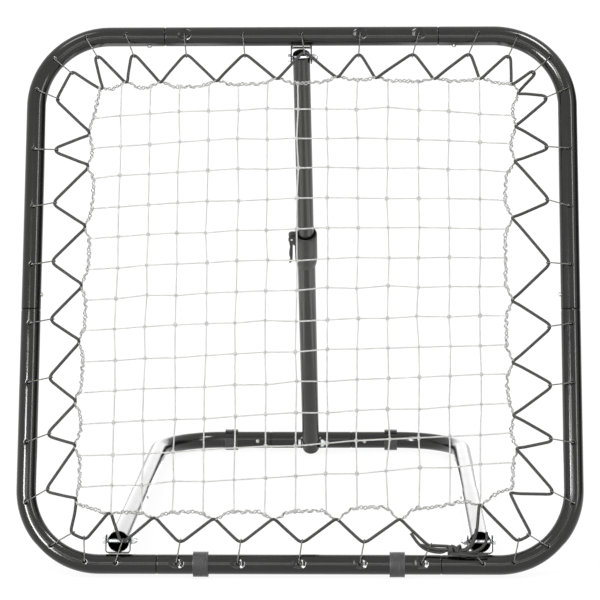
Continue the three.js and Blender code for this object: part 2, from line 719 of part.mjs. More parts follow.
function clampCollar() {
  const radius = collarDiameter / 2;
  const lowerBore = lowerStrutDiameter / 2 + fitGap;
  const upperBore = upperStrutDiameter / 2 + fitGap;
  const top = collarBottom + collarLength;
  const rim = 3;
  const funnel = 7;
  const outline = [
    [lowerBore, collarBottom], [lowerBore + 1.4, collarBottom], [radius, collarBottom + collarTaper],
    [radius, top - rim], [radius - 2, top], [upperBore, top - funnel],
    [upperBore, lowerStrutTop + fitGap], [lowerBore, lowerStrutTop + fitGap], [lowerBore, collarBottom]];
  const sleeveSides = 16;
  const sleeve = new THREE.LatheGeometry(outline.map(([r, z]) => new THREE.Vector2(r, z)), sleeveSides)
    .rotateX(Math.PI / 2);
  const pieces = [sleeve];
  const lug = new THREE.Shape();
  const lugRadius = 6.4;
  lug.moveTo(-radius + 3.4, leverHeight - lugRadius - 12);
  lug.lineTo(-radius + 3.4, leverHeight + lugRadius);
  lug.lineTo(-leverPinOffset, leverHeight + lugRadius);
  lug.absarc(-leverPinOffset, leverHeight, lugRadius, Math.PI / 2, Math.PI, false);
  lug.lineTo(-leverPinOffset - lugRadius, leverHeight - 4);
  lug.lineTo(-radius + 3.4, leverHeight - lugRadius - 12);
  for (const sign of [-1, 1]) {
    const y = sign * (leverWidth / 2 + fitGap + lugThickness / 2);
    pieces.push(plateAcrossY(lug, lugThickness, y));
  }
  const bore = rod(at(0, 0, leverHeight - 3 * lugRadius - 4), at(0, 0, top + 2), upperBore, sleeveSides);
  const windowHeight = 2 * (camRadius + 2.6);
  const windowCut = box(radius, leverWidth + 2 * fitGap, windowHeight, -radius, 0, leverHeight - 0.8);
  const pinBore = rod(at(-leverPinOffset, -collarDiameter / 2, leverHeight),
    at(-leverPinOffset, collarDiameter / 2, leverHeight), leverPinDiameter / 2 + fitGap, buttonSides);
  return cut(join(...pieces), bore, windowCut, pinBore);
}

// The lever folds down along the collar; its round head sits off centre on the pin and bears on the tube.
function clampLever() {
  const camShift = leverPinOffset - upperStrutDiameter / 2 - fitGap - camRadius;
  const inner = -collarDiameter / 2 - fitGap - 0.4;
  const outerFace = -leverPinOffset - 5.2;
  const outline = new THREE.Shape();
  outline.absarc(-leverPinOffset + camShift, leverHeight, camRadius, -Math.PI / 2, Math.PI, false);
  outline.lineTo(outerFace + 1.5, leverHeight - 14);
  outline.lineTo(outerFace + 0.6, leverHeight - leverLength + 16);
  outline.lineTo(outerFace - 2.6, leverHeight - leverLength);
  outline.lineTo(outerFace + 1.2, leverHeight - leverLength - 1);
  outline.lineTo(inner - 2, leverHeight - leverLength + 16);
  outline.lineTo(inner - 1, leverHeight - camRadius - 6);
  outline.closePath();
  const ends = [-leverWidth, leverWidth].map((y) => at(-leverPinOffset, y, leverHeight));
  const pinBore = rod(...ends, leverPinDiameter / 2 + fitGap, buttonSides);
  return cut(plateAcrossY(outline, leverWidth, 0, 7), pinBore);
}

function clampLeverPin() {
  const half = leverWidth / 2 + fitGap + lugThickness + 0.8;
  const ends = [-half, half].map((y) => at(-leverPinOffset, y, leverHeight));
  return rod(...ends, leverPinDiameter / 2, buttonSides);
}

// ---- finishes ----

function finish(color, roughness, metalness) {
  return () => new THREE.MeshStandardMaterial({ color, roughness, metalness });
}
const blackPaint = finish(0x1c1c1b, 0.25, 0.2);
const strutPaint = finish(0x26261f, 0.3, 0.2);
const greyPlastic = finish(0x77777a, 0.6, 0);
const blackPlastic = finish(0x2a2a2a, 0.55, 0);
const zinc = finish(0xc4c6c8, 0.35, 0.9);
const netTwine = finish(0xe6e6e2, 0.85, 0);
const elasticCover = finish(0x35352f, 0.8, 0);

function addTo(group, name, geometry, material) {
  const mesh = new THREE.Mesh(geometry, material());
  mesh.name = name;
  group.add(mesh);
}

// ---- assembly ----

const rebounder = new THREE.Group();
const frameGroup = new THREE.Group();
const baseGroup = new THREE.Group();
const strutGroup = new THREE.Group();
rebounder.add(frameGroup, baseGroup, strutGroup);

// The frame turns about its bottom tube's axis; the base hangs from the leg pivots.
const lean = leanAngle * deg;
const pivotY = bracketReach * Math.sin(lean);
const pivotZ = bracketReach * Math.cos(lean);
const baseSlope = Math.asin(pivotZ / baseDepth);
const rearTubeY = pivotY + baseDepth * Math.cos(baseSlope);
const strutFootY = pivotY + (baseDepth - bracketReach) * Math.cos(baseSlope);
const strutFootZ = pivotZ - (baseDepth - bracketReach) * Math.sin(baseSlope);
const strutHeadY = (frameSpan - bracketReach) * Math.sin(lean);
const strutHeadZ = (frameSpan - bracketReach) * Math.cos(lean);
const strutLength = Math.hypot(strutHeadY - strutFootY, strutHeadZ - strutFootZ);
const strutLean = Math.atan2(strutFootY - strutHeadY, strutHeadZ - strutFootZ);
const middleY = rearTubeY / 2;
const restHeight = footRadius - footSoleDepth;

frameGroup.position.set(0, -middleY, restHeight);
frameGroup.rotation.x = -lean;
baseGroup.position.set(0, pivotY - middleY, restHeight + pivotZ);
baseGroup.rotation.x = -baseSlope;
strutGroup.position.set(0, strutFootY - middleY, restHeight + strutFootZ);
strutGroup.rotation.x = strutLean;

// front frame
addTo(frameGroup, "frame_top_tube", straightFrameTube(topZ, "top"), blackPaint);
addTo(frameGroup, "frame_bottom_tube", straightFrameTube(0, "bottom"), blackPaint);
for (const row of ["top", "bottom"]) {
  for (const side of ["left", "right"]) {
    addTo(frameGroup, `frame_corner_tube_${row}_${side}`, cornerFrameTube(side, row), blackPaint);
  }
}
frameButtons.forEach((button) => {
  const shape = snapButton(button.spot, button.facing, button.along, maleRadius - tubeWall);
  addTo(frameGroup, `snap_button_${button.name}`, shape, zinc);
});
const sideNames = [["left", -1], ["right", 1]];
const legBracketInner = legDiameter + 2 * bracketSideGap;
const legBracketOuter = legBracketInner + 2 * bracketWall;
for (const [side, sign] of sideNames) {
  const x = sign * legX;
  addTo(frameGroup, `leg_bracket_${side}`, uBracket(legBracketInner, x), blackPaint);
  addTo(frameGroup, `leg_pivot_bolt_${side}`, pivotBolt(x, bracketReach, legBracketOuter, sign), zinc);
  addTo(frameGroup, `leg_pivot_nut_${side}`, lockNut(x, bracketReach, legBracketOuter, sign), zinc);
  addTo(frameGroup, `front_foot_${side}`, ringFoot(sign * frontFootOffset, lean), greyPlastic);
}
const topBracketInner = upperStrutDiameter + 2 * bracketSideGap;
const topBracketOuter = topBracketInner + 2 * bracketWall;
const hangFromTop = (geometry) => geometry.rotateX(Math.PI).translate(0, 0, topZ);
addTo(frameGroup, "strut_top_bracket", hangFromTop(uBracket(topBracketInner, 0, 1)), blackPaint);
addTo(frameGroup, "strut_top_bolt", hangFromTop(pivotBolt(0, bracketReach, topBracketOuter, -1)), zinc);
addTo(frameGroup, "strut_top_nut", hangFromTop(lockNut(0, bracketReach, topBracketOuter, -1)), zinc);
addTo(frameGroup, "net", netSolid(), netTwine);
const elasticRoute = cordRoute();
addTo(frameGroup, "elastic_cord", sweep(elasticRoute, cordDiameter / 2, cordSides), elasticCover);
console.log(`elastic cord: least gap to itself ${leastSelfGap(elasticRoute).toFixed(2)} mm`);

// base: origin on the leg pivots, +y back along the legs
const legButtonY = legJointDepth - buttonSetback;
const rearButtonX = rearJointX + buttonSetback;
const baseButtons = [
  { name: "leg_left", spot: at(-legX, legButtonY, 0), facing: at(1, 0, 0), along: at(0, 1, 0) },
  { name: "leg_right", spot: at(legX, legButtonY, 0), facing: at(-1, 0, 0), along: at(0, 1, 0) },
  { name: "rear_left", spot: at(-rearButtonX, baseDepth, 0), facing: at(0, -1, 0), along: at(1, 0, 0) },
  { name: "rear_right", spot: at(rearButtonX, baseDepth, 0), facing: at(0, -1, 0), along: at(-1, 0, 0) },
];
const baseButtonHoles = Object.fromEntries(
  baseButtons.map((button) => [button.name, buttonHole(button.spot, button.facing)]));
for (const [side, sign] of sideNames) {
  const x = sign * legX;
  const pin = rod(at(x - legDiameter, 0, 0), at(x + legDiameter, 0, 0), boltBoreRadius, boltSides);
  const leg = hollowTube([at(x, -legNose, 0), at(x, legJointDepth, 0)], legDiameter / 2, legWall,
    { holes: [pin, baseButtonHoles[`leg_${side}`]] });
  addTo(baseGroup, `base_leg_${side}`, leg, blackPaint);
  const start = at(x, legJointDepth - jointInsert, 0);
  const line = cornerLine(start, at(x, baseDepth, 0), at(sign * rearJointX, baseDepth, 0));
  const corner = hollowTube(line, tubeRadius, tubeWall,
    { holes: [baseButtonHoles[`leg_${side}`], baseButtonHoles[`rear_${side}`]] });
  addTo(baseGroup, `base_corner_tube_${side}`, corner, blackPaint);
}
const rearLine = [at(-rearJointX, baseDepth, 0), at(rearJointX, baseDepth, 0)];
const rearHoles = [baseButtonHoles.rear_left, baseButtonHoles.rear_right];
addTo(baseGroup, "base_centre_tube", hollowTube(rearLine, tubeRadius, tubeWall,
  { maleStart: true, maleEnd: true, holes: rearHoles }), blackPaint);
baseButtons.forEach((button) => {
  const inner = (button.name.startsWith("leg") ? tubeRadius : maleRadius) - tubeWall;
  const shape = snapButton(button.spot, button.facing, button.along, inner);
  addTo(baseGroup, `snap_button_${button.name}`, shape, zinc);
});
const rearBracketInner = lowerStrutDiameter + 2 * bracketSideGap;
const rearBracketOuter = rearBracketInner + 2 * bracketWall;
const forwardFromRear = (geometry) => geometry.rotateX(Math.PI / 2).translate(0, baseDepth, 0);
addTo(baseGroup, "strut_rear_bracket", forwardFromRear(uBracket(rearBracketInner, 0, -1)), blackPaint);
addTo(baseGroup, "strut_rear_bolt", forwardFromRear(pivotBolt(0, bracketReach, rearBracketOuter, -1)), zinc);
addTo(baseGroup, "strut_rear_nut", forwardFromRear(lockNut(0, bracketReach, rearBracketOuter, -1)), zinc);
for (const [side, sign] of sideNames) {
  const foot = ringFoot(sign * rearFootOffset, baseSlope).translate(0, baseDepth, 0);
  addTo(baseGroup, `rear_foot_${side}`, foot, greyPlastic);
}

// strut
addTo(strutGroup, "strut_lower_tube", lowerStrutTube(), strutPaint);
addTo(strutGroup, "strut_end_plug", strutEndPlug(), blackPlastic);
addTo(strutGroup, "strut_upper_tube", upperStrutTube(strutLength), strutPaint);
addTo(strutGroup, "strut_guide", strutGuide(strutLength), blackPlastic);
addTo(strutGroup, "clamp_collar", clampCollar(), blackPlastic);
addTo(strutGroup, "clamp_lever", clampLever(), blackPlastic);
addTo(strutGroup, "clamp_lever_pin", clampLeverPin(), zinc);

export default rebounder;
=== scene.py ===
from math import asin, atan2, ceil, cos, exp, hypot, pi, radians, sin, sqrt

import bmesh
import bpy
import numpy as np
from mathutils import Matrix, Vector


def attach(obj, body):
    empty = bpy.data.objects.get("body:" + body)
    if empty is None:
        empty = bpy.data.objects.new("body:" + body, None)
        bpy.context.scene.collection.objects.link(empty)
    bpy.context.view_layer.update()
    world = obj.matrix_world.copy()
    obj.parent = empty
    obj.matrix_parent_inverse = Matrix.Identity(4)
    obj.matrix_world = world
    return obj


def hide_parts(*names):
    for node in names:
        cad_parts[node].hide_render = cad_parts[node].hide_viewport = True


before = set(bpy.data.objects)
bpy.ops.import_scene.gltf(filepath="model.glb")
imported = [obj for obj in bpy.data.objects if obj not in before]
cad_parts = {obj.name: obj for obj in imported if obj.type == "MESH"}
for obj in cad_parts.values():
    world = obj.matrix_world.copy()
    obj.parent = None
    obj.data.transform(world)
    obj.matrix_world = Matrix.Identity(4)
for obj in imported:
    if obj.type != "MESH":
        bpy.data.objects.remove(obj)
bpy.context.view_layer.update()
mm = 0.001

# The real object's main sizes in millimetres, as in the part's source but for a cord 0.5 mm thicker
layout = {
    "frameSpan": 965, "cornerRadius": 132.5, "tubeRadius": 17.5, "tubeWall": 1.5, "lean": 21,
    "straightTube": 500, "sideJoint": 455, "bracketReach": 41, "legSpacing": 634, "baseDepth": 1000,
    "legRadius": 19, "legWall": 1.2, "legJoint": 405, "legNose": 7, "rearHalf": 86, "footRadius": 22.5,
    "soleDepth": 1, "netWidth": 772, "netHeight": 797, "netDepth": -10, "cells": 14, "cordDiameter": 5.5,
}
span, corner, tubeR = layout["frameSpan"], layout["cornerRadius"], layout["tubeRadius"]
reach, baseDepth, rearHalf = layout["bracketReach"], layout["baseDepth"], layout["rearHalf"]
half = span / 2
jointX = layout["straightTube"] / 2
legX = layout["legSpacing"] / 2
bothSides = (("left", -1), ("right", 1))

# Where the lean and the base's slope put the pivots and the strut
lean = radians(layout["lean"])
pivotY, pivotZ = reach * sin(lean), reach * cos(lean)
baseSlope = asin(pivotZ / baseDepth)
strutFootY = pivotY + (baseDepth - reach) * cos(baseSlope)
strutFootZ = pivotZ - (baseDepth - reach) * sin(baseSlope)
strutHeadY, strutHeadZ = (span - reach) * sin(lean), (span - reach) * cos(lean)
strutLength = hypot(strutHeadY - strutFootY, strutHeadZ - strutFootZ)
strutLean = atan2(strutFootY - strutHeadY, strutHeadZ - strutFootZ)
restHeight = layout["footRadius"] - layout["soleDepth"]
middleY = (pivotY + baseDepth * cos(baseSlope)) / 2


def placed(y, z, turn):
    return Matrix.Translation((0, y, z)) @ Matrix.Rotation(turn, 4, "X")


# Each group of pieces is drawn in its own plane in millimetres and then set in place
framePlane = placed(-middleY, restHeight, -lean)
basePlane = placed(pivotY - middleY, restHeight + pivotZ, -baseSlope)
strutAxis = placed(strutFootY - middleY, restHeight + strutFootZ, strutLean)
toMetres = Matrix.Scale(mm, 4)


def linear(hexColour):
    parts = [int(hexColour[i:i + 2], 16) / 255 for i in (1, 3, 5)]
    return tuple(c / 12.92 if c <= 0.04045 else ((c + 0.055) / 1.055) ** 2.4 for c in parts) + (1,)


def addNode(tree, kind, inputs=None, out=0, **settings):
    # gives the node's first output, the one that out names, or all of them
    node = tree.nodes.new(kind)
    for name, value in settings.items():
        setattr(node, name, value)
    for key, value in (inputs or {}).items():
        if isinstance(value, bpy.types.NodeSocket):
            tree.links.new(value, node.inputs[key])
        else:
            node.inputs[key].default_value = value
    return node.outputs if out is None or not node.outputs else node.outputs[out]


def bareTree(owner):
    owner.use_nodes = True
    owner.node_tree.nodes.clear()
    return owner.node_tree


def linked(name, data):
    piece = bpy.data.objects.new(name, data)
    bpy.context.scene.collection.objects.link(piece)
    return piece


def meshObject(name, points, faces, place, material, smoothAngle=40):
    # shaded smooth up to smoothAngle, and turned from millimetres in its plane to metres in place
    mesh = bpy.data.meshes.new(name)
    mesh.from_pydata([tuple(p) for p in points], [], [tuple(f) for f in faces])
    shape = bmesh.new()
    shape.from_mesh(mesh)
    bmesh.ops.remove_doubles(shape, verts=shape.verts, dist=1e-5)
    bmesh.ops.recalc_face_normals(shape, faces=shape.faces)
    for face in shape.faces:
        face.smooth = True
    limit = radians(smoothAngle)
    for edge in shape.edges:
        edge.smooth = len(edge.link_faces) == 2 and edge.calc_face_angle(0) < limit
    shape.to_mesh(mesh)
    shape.free()
    mesh.transform(toMetres @ place)
    mesh.materials.append(material)
    return linked(name, mesh)


def ringFaces(rings, sides, first=0):
    # the quads between closed rings of points that follow one another
    faces = []
    for start in range(first, first + (rings - 1) * sides, sides):
        for j in range(sides):
            a, b = start + j, start + (j + 1) % sides
            faces.append((a, b, b + sides, a + sides))
    return faces


def mount(piece, body, slotName, *replaced):
    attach(piece, body)
    if replaced:
        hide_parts(*replaced)


def applyModifiers(piece):
    bpy.context.view_layer.update()
    depsgraph = bpy.context.evaluated_depsgraph_get()
    mesh = bpy.data.meshes.new_from_object(piece.evaluated_get(depsgraph))
    mesh.name = piece.name
    piece.modifiers.clear()
    piece.data = mesh
    return piece


# Camera, as the photograph was taken
cameraFit = {"focal": 2563.25, "frameWidth": 600, "sensor": 36, "place": (118.56, -4861.3, 1204.0),
             "pitch": 0.1623, "yaw": 0.0263, "roll": 0.0046}


def makeCamera(fit):
    yaw = Matrix.Rotation(fit["yaw"], 3, "Z")
    forward = yaw @ Vector((0, cos(fit["pitch"]), -sin(fit["pitch"])))
    right = yaw @ Vector((1, 0, 0))
    down = yaw @ Vector((0, -sin(fit["pitch"]), -cos(fit["pitch"])))
    level, tipped = cos(fit["roll"]), sin(fit["roll"])
    turn = Matrix((right * level + down * tipped, right * tipped - down * level, -forward))
    lensData = bpy.data.cameras.new("photo_camera")
    lensData.sensor_width = fit["sensor"]
    lensData.lens = fit["focal"] * fit["sensor"] / fit["frameWidth"]
    lensData.clip_end = 100
    camera = linked("photo_camera", lensData)
    camera.matrix_world = Matrix.Translation(Vector(fit["place"]) * mm) @ turn.transposed().to_4x4()
    bpy.context.scene.camera = camera


makeCamera(cameraFit)
print("camera ready")


# What every finish ends in: two colours mixed by share, reliefs of (height, depth in mm), and the shader
def dressed(material, colours, share, reliefs, inputs):
    tree = material.node_tree
    first, second = [linear(colour) for colour in colours]
    mixed = addNode(tree, "ShaderNodeMix", {0: share, 6: first, 7: second}, out=2, data_type="RGBA")
    lower = {}
    for height, depth in reliefs:
        bump = {"Height": height, "Distance": depth * mm, "Strength": 1.0, **lower}
        lower = {"Normal": addNode(tree, "ShaderNodeBump", bump)}
    shader = addNode(tree, "ShaderNodeBsdfPrincipled", {"Base Color": mixed, **inputs, **lower})
    addNode(tree, "ShaderNodeOutputMaterial", {"Surface": shader})
    return material


# Paint, plating and plastic: a clouded colour, and fine reliefs of (grain size, detail, depth), sizes in mm
def cloudedMaterial(name, look):
    material = bpy.data.materials.new(name)
    tree = bareTree(material)
    spot = addNode(tree, "ShaderNodeTexCoord", out="Object")
    grains = [(look["cloud"], 3, 0)] + look["reliefs"]
    noises = []
    for size, detail, _ in grains:
        pattern = {"Vector": spot, "Scale": 1 / mm / size, "Detail": detail}
        noises.append(addNode(tree, "ShaderNodeTexNoise", pattern))
    usual = {"From Min": 0.3, "From Max": 0.7}  # where most of a noise's values lie
    share = addNode(tree, "ShaderNodeMapRange", {"Value": noises[0], **usual})
    # a metal is dull where it is scratched, the others where their colour clouds
    dulled = noises[1] if "Metallic" in look["shader"] else noises[0]
    low, high = look["roughness"]
    rough = addNode(tree, "ShaderNodeMapRange", {"Value": dulled, "To Min": low, "To Max": high, **usual})
    reliefs = [(noise, grain[2]) for noise, grain in zip(noises[1:], grains[1:])]
    return dressed(material, look["colours"], share, reliefs, {"Roughness": rough, **look["shader"]})


# Powder-coated steel: a thick gloss black skin with a faint orange peel, mirror-like only at a glance
framePaint = cloudedMaterial("black_powder_coated_steel", {
    "colours": ("#0d0d0b", "#161613"), "cloud": 60, "reliefs": [(4, 2, 0.02), (0.7, 1, 0.003)],
    "roughness": (0.12, 0.17), "shader": {"IOR": 1.5}})
strutPaint = cloudedMaterial("olive_black_powder_coated_steel", {
    "colours": ("#1b1b17", "#26261f"), "cloud": 45, "reliefs": [(4, 2, 0.02), (0.7, 1, 0.004)],
    "roughness": (0.22, 0.28), "shader": {"IOR": 1.5}})
# Zinc-plated steel: a cool silver skin, cloudy from the plating bath
boltZinc = cloudedMaterial("zinc_plated_bolt_steel", {
    "colours": ("#cfd1d3", "#e6e7e8"), "cloud": 6, "reliefs": [(0.6, 4, 0.01)],
    "roughness": (0.36, 0.5), "shader": {"Metallic": 1.0}})
# Galvanised wire and plated spring steel: the same skin, greyer and duller from drawing and pressing
hookSteel = cloudedMaterial("drawn_galvanised_wire", {
    "colours": ("#4e4e4a", "#72726d"), "cloud": 4, "reliefs": [(1.2, 4, 0.003)],
    "roughness": (0.46, 0.56), "shader": {"Metallic": 1.0}})
buttonSteel = cloudedMaterial("dull_plated_spring_steel", {
    "colours": ("#92928d", "#b8b8b2"), "cloud": 4, "reliefs": [(0.5, 4, 0.008)],
    "roughness": (0.3, 0.42), "shader": {"Metallic": 1.0}})
# Moulded plastic: a spark-eroded mould leaves a fine matt grain, a little shinier where it is handled
greyPlastic = cloudedMaterial("grey_moulded_polypropylene", {
    "colours": ("#474747", "#525252"), "cloud": 12, "reliefs": [(0.5, 2, 0.03)],
    "roughness": (0.38, 0.5), "shader": {"IOR": 1.49}})
blackPlastic = cloudedMaterial("black_moulded_nylon", {
    "colours": ("#1e1e1b", "#282823"), "cloud": 10, "reliefs": [(0.5, 2, 0.02)],
    "roughness": (0.36, 0.48), "shader": {"IOR": 1.49}})


# Twisted or braided cord: the strands read from the length and the turn that the tube carries along
def cordMaterial(name, look):
    material = bpy.data.materials.new(name)
    tree = bareTree(material)
    along = addNode(tree, "ShaderNodeAttribute", out="Fac", attribute_name="along")
    ring = addNode(tree, "ShaderNodeAttribute", out="Vector", attribute_name="ring")
    across = addNode(tree, "ShaderNodeSeparateXYZ", {"Vector": ring}, out=None)
    turn = addNode(tree, "ShaderNodeMath", {0: across[1], 1: across[0]}, operation="ARCTAN2")
    twice = addNode(tree, "ShaderNodeMath", {0: turn, 1: 2.0}, operation="MULTIPLY")
    perMetre = 2 * pi / (look["pitch"] * mm)
    length = addNode(tree, "ShaderNodeMath", {0: along, 1: perMetre}, operation="MULTIPLY")
    strands = None
    for winding in look["windings"]:
        phase = addNode(tree, "ShaderNodeMath", {0: length, 1: twice}, operation=winding)
        wave = addNode(tree, "ShaderNodeMath", {0: phase}, operation="SINE")
        strands = wave if strands is None else addNode(
            tree, "ShaderNodeMath", {0: strands, 1: wave}, operation="MULTIPLY")
    spot = addNode(tree, "ShaderNodeTexCoord", out="Object")
    fuzzSize, fuzzDepth = look["fuzz"]
    fuzz = addNode(tree, "ShaderNodeTexNoise", {"Vector": spot, "Scale": 1 / mm / fuzzSize, "Detail": 3})
    # the valleys between the strands take the darker colour: painted shade in the crevices
    strandShade = addNode(tree, "ShaderNodeMapRange", {"Value": strands, "From Min": -0.9, "From Max": 0.9})
    share = addNode(tree, "ShaderNodeMath", {0: strandShade, 1: fuzz}, operation="MULTIPLY")
    return dressed(material, look["colours"], share, [(strands, look["strandDepth"]), (fuzz, fuzzDepth)],
                   {"Roughness": look["roughness"], "Sheen Weight": look["sheen"], "Sheen Roughness": 0.5})


# Braided polyester over rubber: a charcoal sleeve whose crossing yarns are paler, with painted shade
# darkening the valleys between them; the weave is drawn 2x coarse
elasticSleeve = cordMaterial("braided_elastic_sleeve", {
    "colours": ("#181816", "#43433f"), "pitch": 5.5, "windings": ("ADD", "SUBTRACT"), "strandDepth": 0.25,
    "fuzz": (0.8, 0.05), "roughness": 0.62, "sheen": 0.15})
# Twisted white polyester twine: bright strands, with painted grey shade in the valleys between them
netTwine = cordMaterial("twisted_polyester_twine", {
    "colours": ("#dadad6", "#fafaf6"), "pitch": 4.0, "windings": ("ADD",), "strandDepth": 0.3,
    "fuzz": (0.6, 0.06), "roughness": 0.7, "sheen": 0.1})
# The same twine drawn tight in its knots and in the border, painted greyer as shade, with deeper painted
# shade in the valleys between the turns
shadedKnotTwine = cordMaterial("knotted_twine_painted_shade", {
    "colours": ("#bcbcb8", "#fcfcf8"), "pitch": 7.0, "windings": ("ADD",), "strandDepth": 0.6,
    "fuzz": (1.6, 0.5), "roughness": 0.75, "sheen": 0.1})
print("materials ready")


# A path of straight runs with filleted corners, as rows of (distance, length, piece)
def filletPath(corners, radius=0):
    corners = [Vector(c) for c in corners]
    pieces, start = [], corners[0]
    for before, bend, after in zip(corners, corners[1:], corners[2:]):
        back, ahead = (before - bend).normalized(), (after - bend).normalized()
        enter, centre = bend + back * radius, bend + (back + ahead) * radius
        pieces += [("line", start, enter), ("arc", centre, enter - centre, -back)]
        start = bend + ahead * radius
    pieces.append(("line", start, corners[-1]))
    path, travelled = [], 0.0
    for piece in pieces:
        length = (piece[2] - piece[1]).length if piece[0] == "line" else radius * pi / 2
        path.append((travelled, length, piece))
        travelled += length
    return path


def pathLength(path):
    return path[-1][0] + path[-1][1]


def pathAt(path, distance):
    # the point and the heading there; the first and the last run go on past the path's ends
    for begin, length, piece in path:
        if distance <= begin + length or (begin, length, piece) == path[-1]:
            break
    if piece[0] == "line":
        heading = (piece[2] - piece[1]).normalized()
        return piece[1] + heading * (distance - begin), heading
    centre, arm, heading = piece[1:]
    turn = (distance - begin) / arm.length
    point = centre + arm * cos(turn) + heading * arm.length * sin(turn)
    return point, (heading * cos(turn) - arm.normalized() * sin(turn)).normalized()


# Lacing: the hook holes, the cord's turns round the net's edge, and the tied end
lacing = {
    "hookPitch": 107, "topBends": (0.21, 0.55, 0.87), "sideTop": 748, "bottomBends": (0.44, 0.12),
    "hookReach": 38.5, "edgeInset": 8, "borderWidth": 5, "netThickness": 3, "gap": 0.3,
    "tieHook": 19, "nextHook": 20, "knotTurns": 4, "loneHookSlant": 0.35, "borderSlack": 2,
    "mostRise": 0.4,
}
# each turn's hook before it, and its place across and up in the frame's plane, by the sides of the net
edgeTurns = {
    "top": ((0, -255, 876), (1, -153, 878), (2, -43, 882), (3, 67, 885), (4, 137, 883), (5, 243, 881),
            (6, 326, 881), (7, 383, 870), (36, -363, 864), (37, -318, 876)),
    "right": ((8, 393, 853), (9, 388, 791), (10, 386, 726), (11, 380, 621), (12, 378, 470), (13, 378, 358),
              (14, 378, 263), (15, 383, 203), (16, 371, 124)),
    "bottom": ((18, 318, 104), (20, 177, 78), (21, 66, 78), (22, -44, 78), (23, -149, 78), (24, -254, 80),
               (25, -333, 88)),
    "left": ((27, -393, 112), (28, -397, 208), (29, -398, 287), (30, -394, 396), (31, -392, 498),
             (32, -388, 606), (33, -385, 718), (34, -384, 780)),
}
tipByHand = {17: (402, 51), 18: (384, 42), 19: (297, 30), 20: (230, 32.5), 26: (-377, 43.5), 27: (-398, 53)}
depthByHand = {3: -23.4, 19: -16, 25: -17.5, 36: -5}
outwards = {"top": (0, 1), "right": (1, 0), "bottom": (0, -1), "left": (-1, 0)}
turnAfter = {hook: (side, (x, z)) for side, turns in edgeTurns.items() for hook, x, z in turns}


def hookHoles():
    # each hole's place and the way in from it, clockwise from the left end of the top tube
    pitch = lacing["hookPitch"]
    bends = []
    for shares, z, up in ((lacing["topBends"], span, -1), (lacing["bottomBends"], 0, 1)):
        turns = [share * pi / 2 for share in shares]
        bends.append([(half - corner * (1 - sin(t)), z + up * corner * (1 - cos(t)),
                       (-sin(t), up * cos(t))) for t in turns])
    right = bends[0] + [(half, lacing["sideTop"] - step * pitch, (-1, 0)) for step in range(7)] + bends[1]
    top = [(step * pitch, span, (0, -1)) for step in range(-3, 4)]
    bottom = [(step * pitch, 0, (0, 1)) for step in range(3, -4, -1)]
    return top + right + bottom + [(-x, z, (-inward[0], inward[1])) for x, z, inward in reversed(right)]


def makeHooks():
    # a hook without a tip of its own leans towards the cord's turns on both sides of it
    holes = hookHoles()
    hooks = []
    for index, (x, z, inward) in enumerate(holes):
        tip = tipByHand.get(index)
        if tip is None:
            pulls = [turnAfter[i][1] for i in ((index - 1) % len(holes), index) if i in turnAfter]
            pull = (sum(p[0] for p in pulls) / len(pulls) - x, sum(p[1] for p in pulls) / len(pulls) - z)
            straight = pull[0] * inward[0] + pull[1] * inward[1]
            length = lacing["hookReach"]
            plain = (x + inward[0] * length, z + inward[1] * length)
            slanted = (x + pull[0] * length / straight, z + pull[1] * length / straight)
            share = lacing["loneHookSlant"] if len(pulls) == 1 else 1
            tip = tuple(p + (s - p) * share for p, s in zip(plain, slanted))
        hooks.append({"x": x, "z": z, "inward": inward, "tip": tip,
                      "depth": depthByHand.get(index, layout["netDepth"])})
    return hooks


hooks = makeHooks()

tubeLook = {"sides": 112, "ringGap": 30, "bendGap": 5, "lip": 0.5, "shoulder": 0.8, "smooth": 50,
            "dentGap": 0.9, "dentWall": 0.48, "pitLip": 0.5, "pitWall": 0.9, "leastGap": 0.05,
            "walkStep": 0.5, "holeReach": 5}
# An end that goes into the next tube is swaged narrower, and shows a narrow groove at the joint
joint = {"insert": 48, "taper": 2.2, "gap": 0.1, "maleRadius": 15.9}
# Hook holes are punched hard into the straight top and bottom tubes, bar two at the top, and lightly
# everywhere else
punched = {"deep": {"radius": 13, "depth": 2.5, "hole": 2.3, "pit": 3.0},
           "light": {"radius": 5.0, "depth": 0.7, "hole": 2.1, "pit": 3.0}}
lightOnTop = (-lacing["hookPitch"], 0)
holeAngle = -pi / 2  # the holes are on the tubes' front line


# The distance, angle and press of each hook hole that the path passes
def dentsOn(path):
    stops = np.arange(0, pathLength(path), tubeLook["walkStep"])
    walk = [(float(s), pathAt(path, float(s))[0]) for s in stops]
    dents = []
    for hook in hooks:
        hole = Vector((hook["x"], 0, hook["z"]))
        distance, nearest = min(walk, key=lambda step: (step[1] - hole).length)
        if (nearest - hole).length < tubeLook["holeReach"]:
            deep = abs(hook["x"]) < jointX and (abs(hook["z"]) < 1 or hook["x"] not in lightOnTop)
            dents.append((distance, holeAngle, punched["deep" if deep else "light"]))
    return dents


def tubeStations(path, startMale, endMale):
    # (distance, radius) pairs along the path, with a swaged end where one is asked for
    insert, taper, gap, male = joint["insert"], joint["taper"], joint["gap"], joint["maleRadius"]
    length = pathLength(path)
    start, end = [(0.0, tubeR)], [(length, tubeR)]
    if startMale:
        start = [(-insert, male), (-gap, male), (taper, tubeR)]
    if endMale:
        end = [(length - taper, tubeR), (length + gap, male), (length + insert, male)]
    return start + end


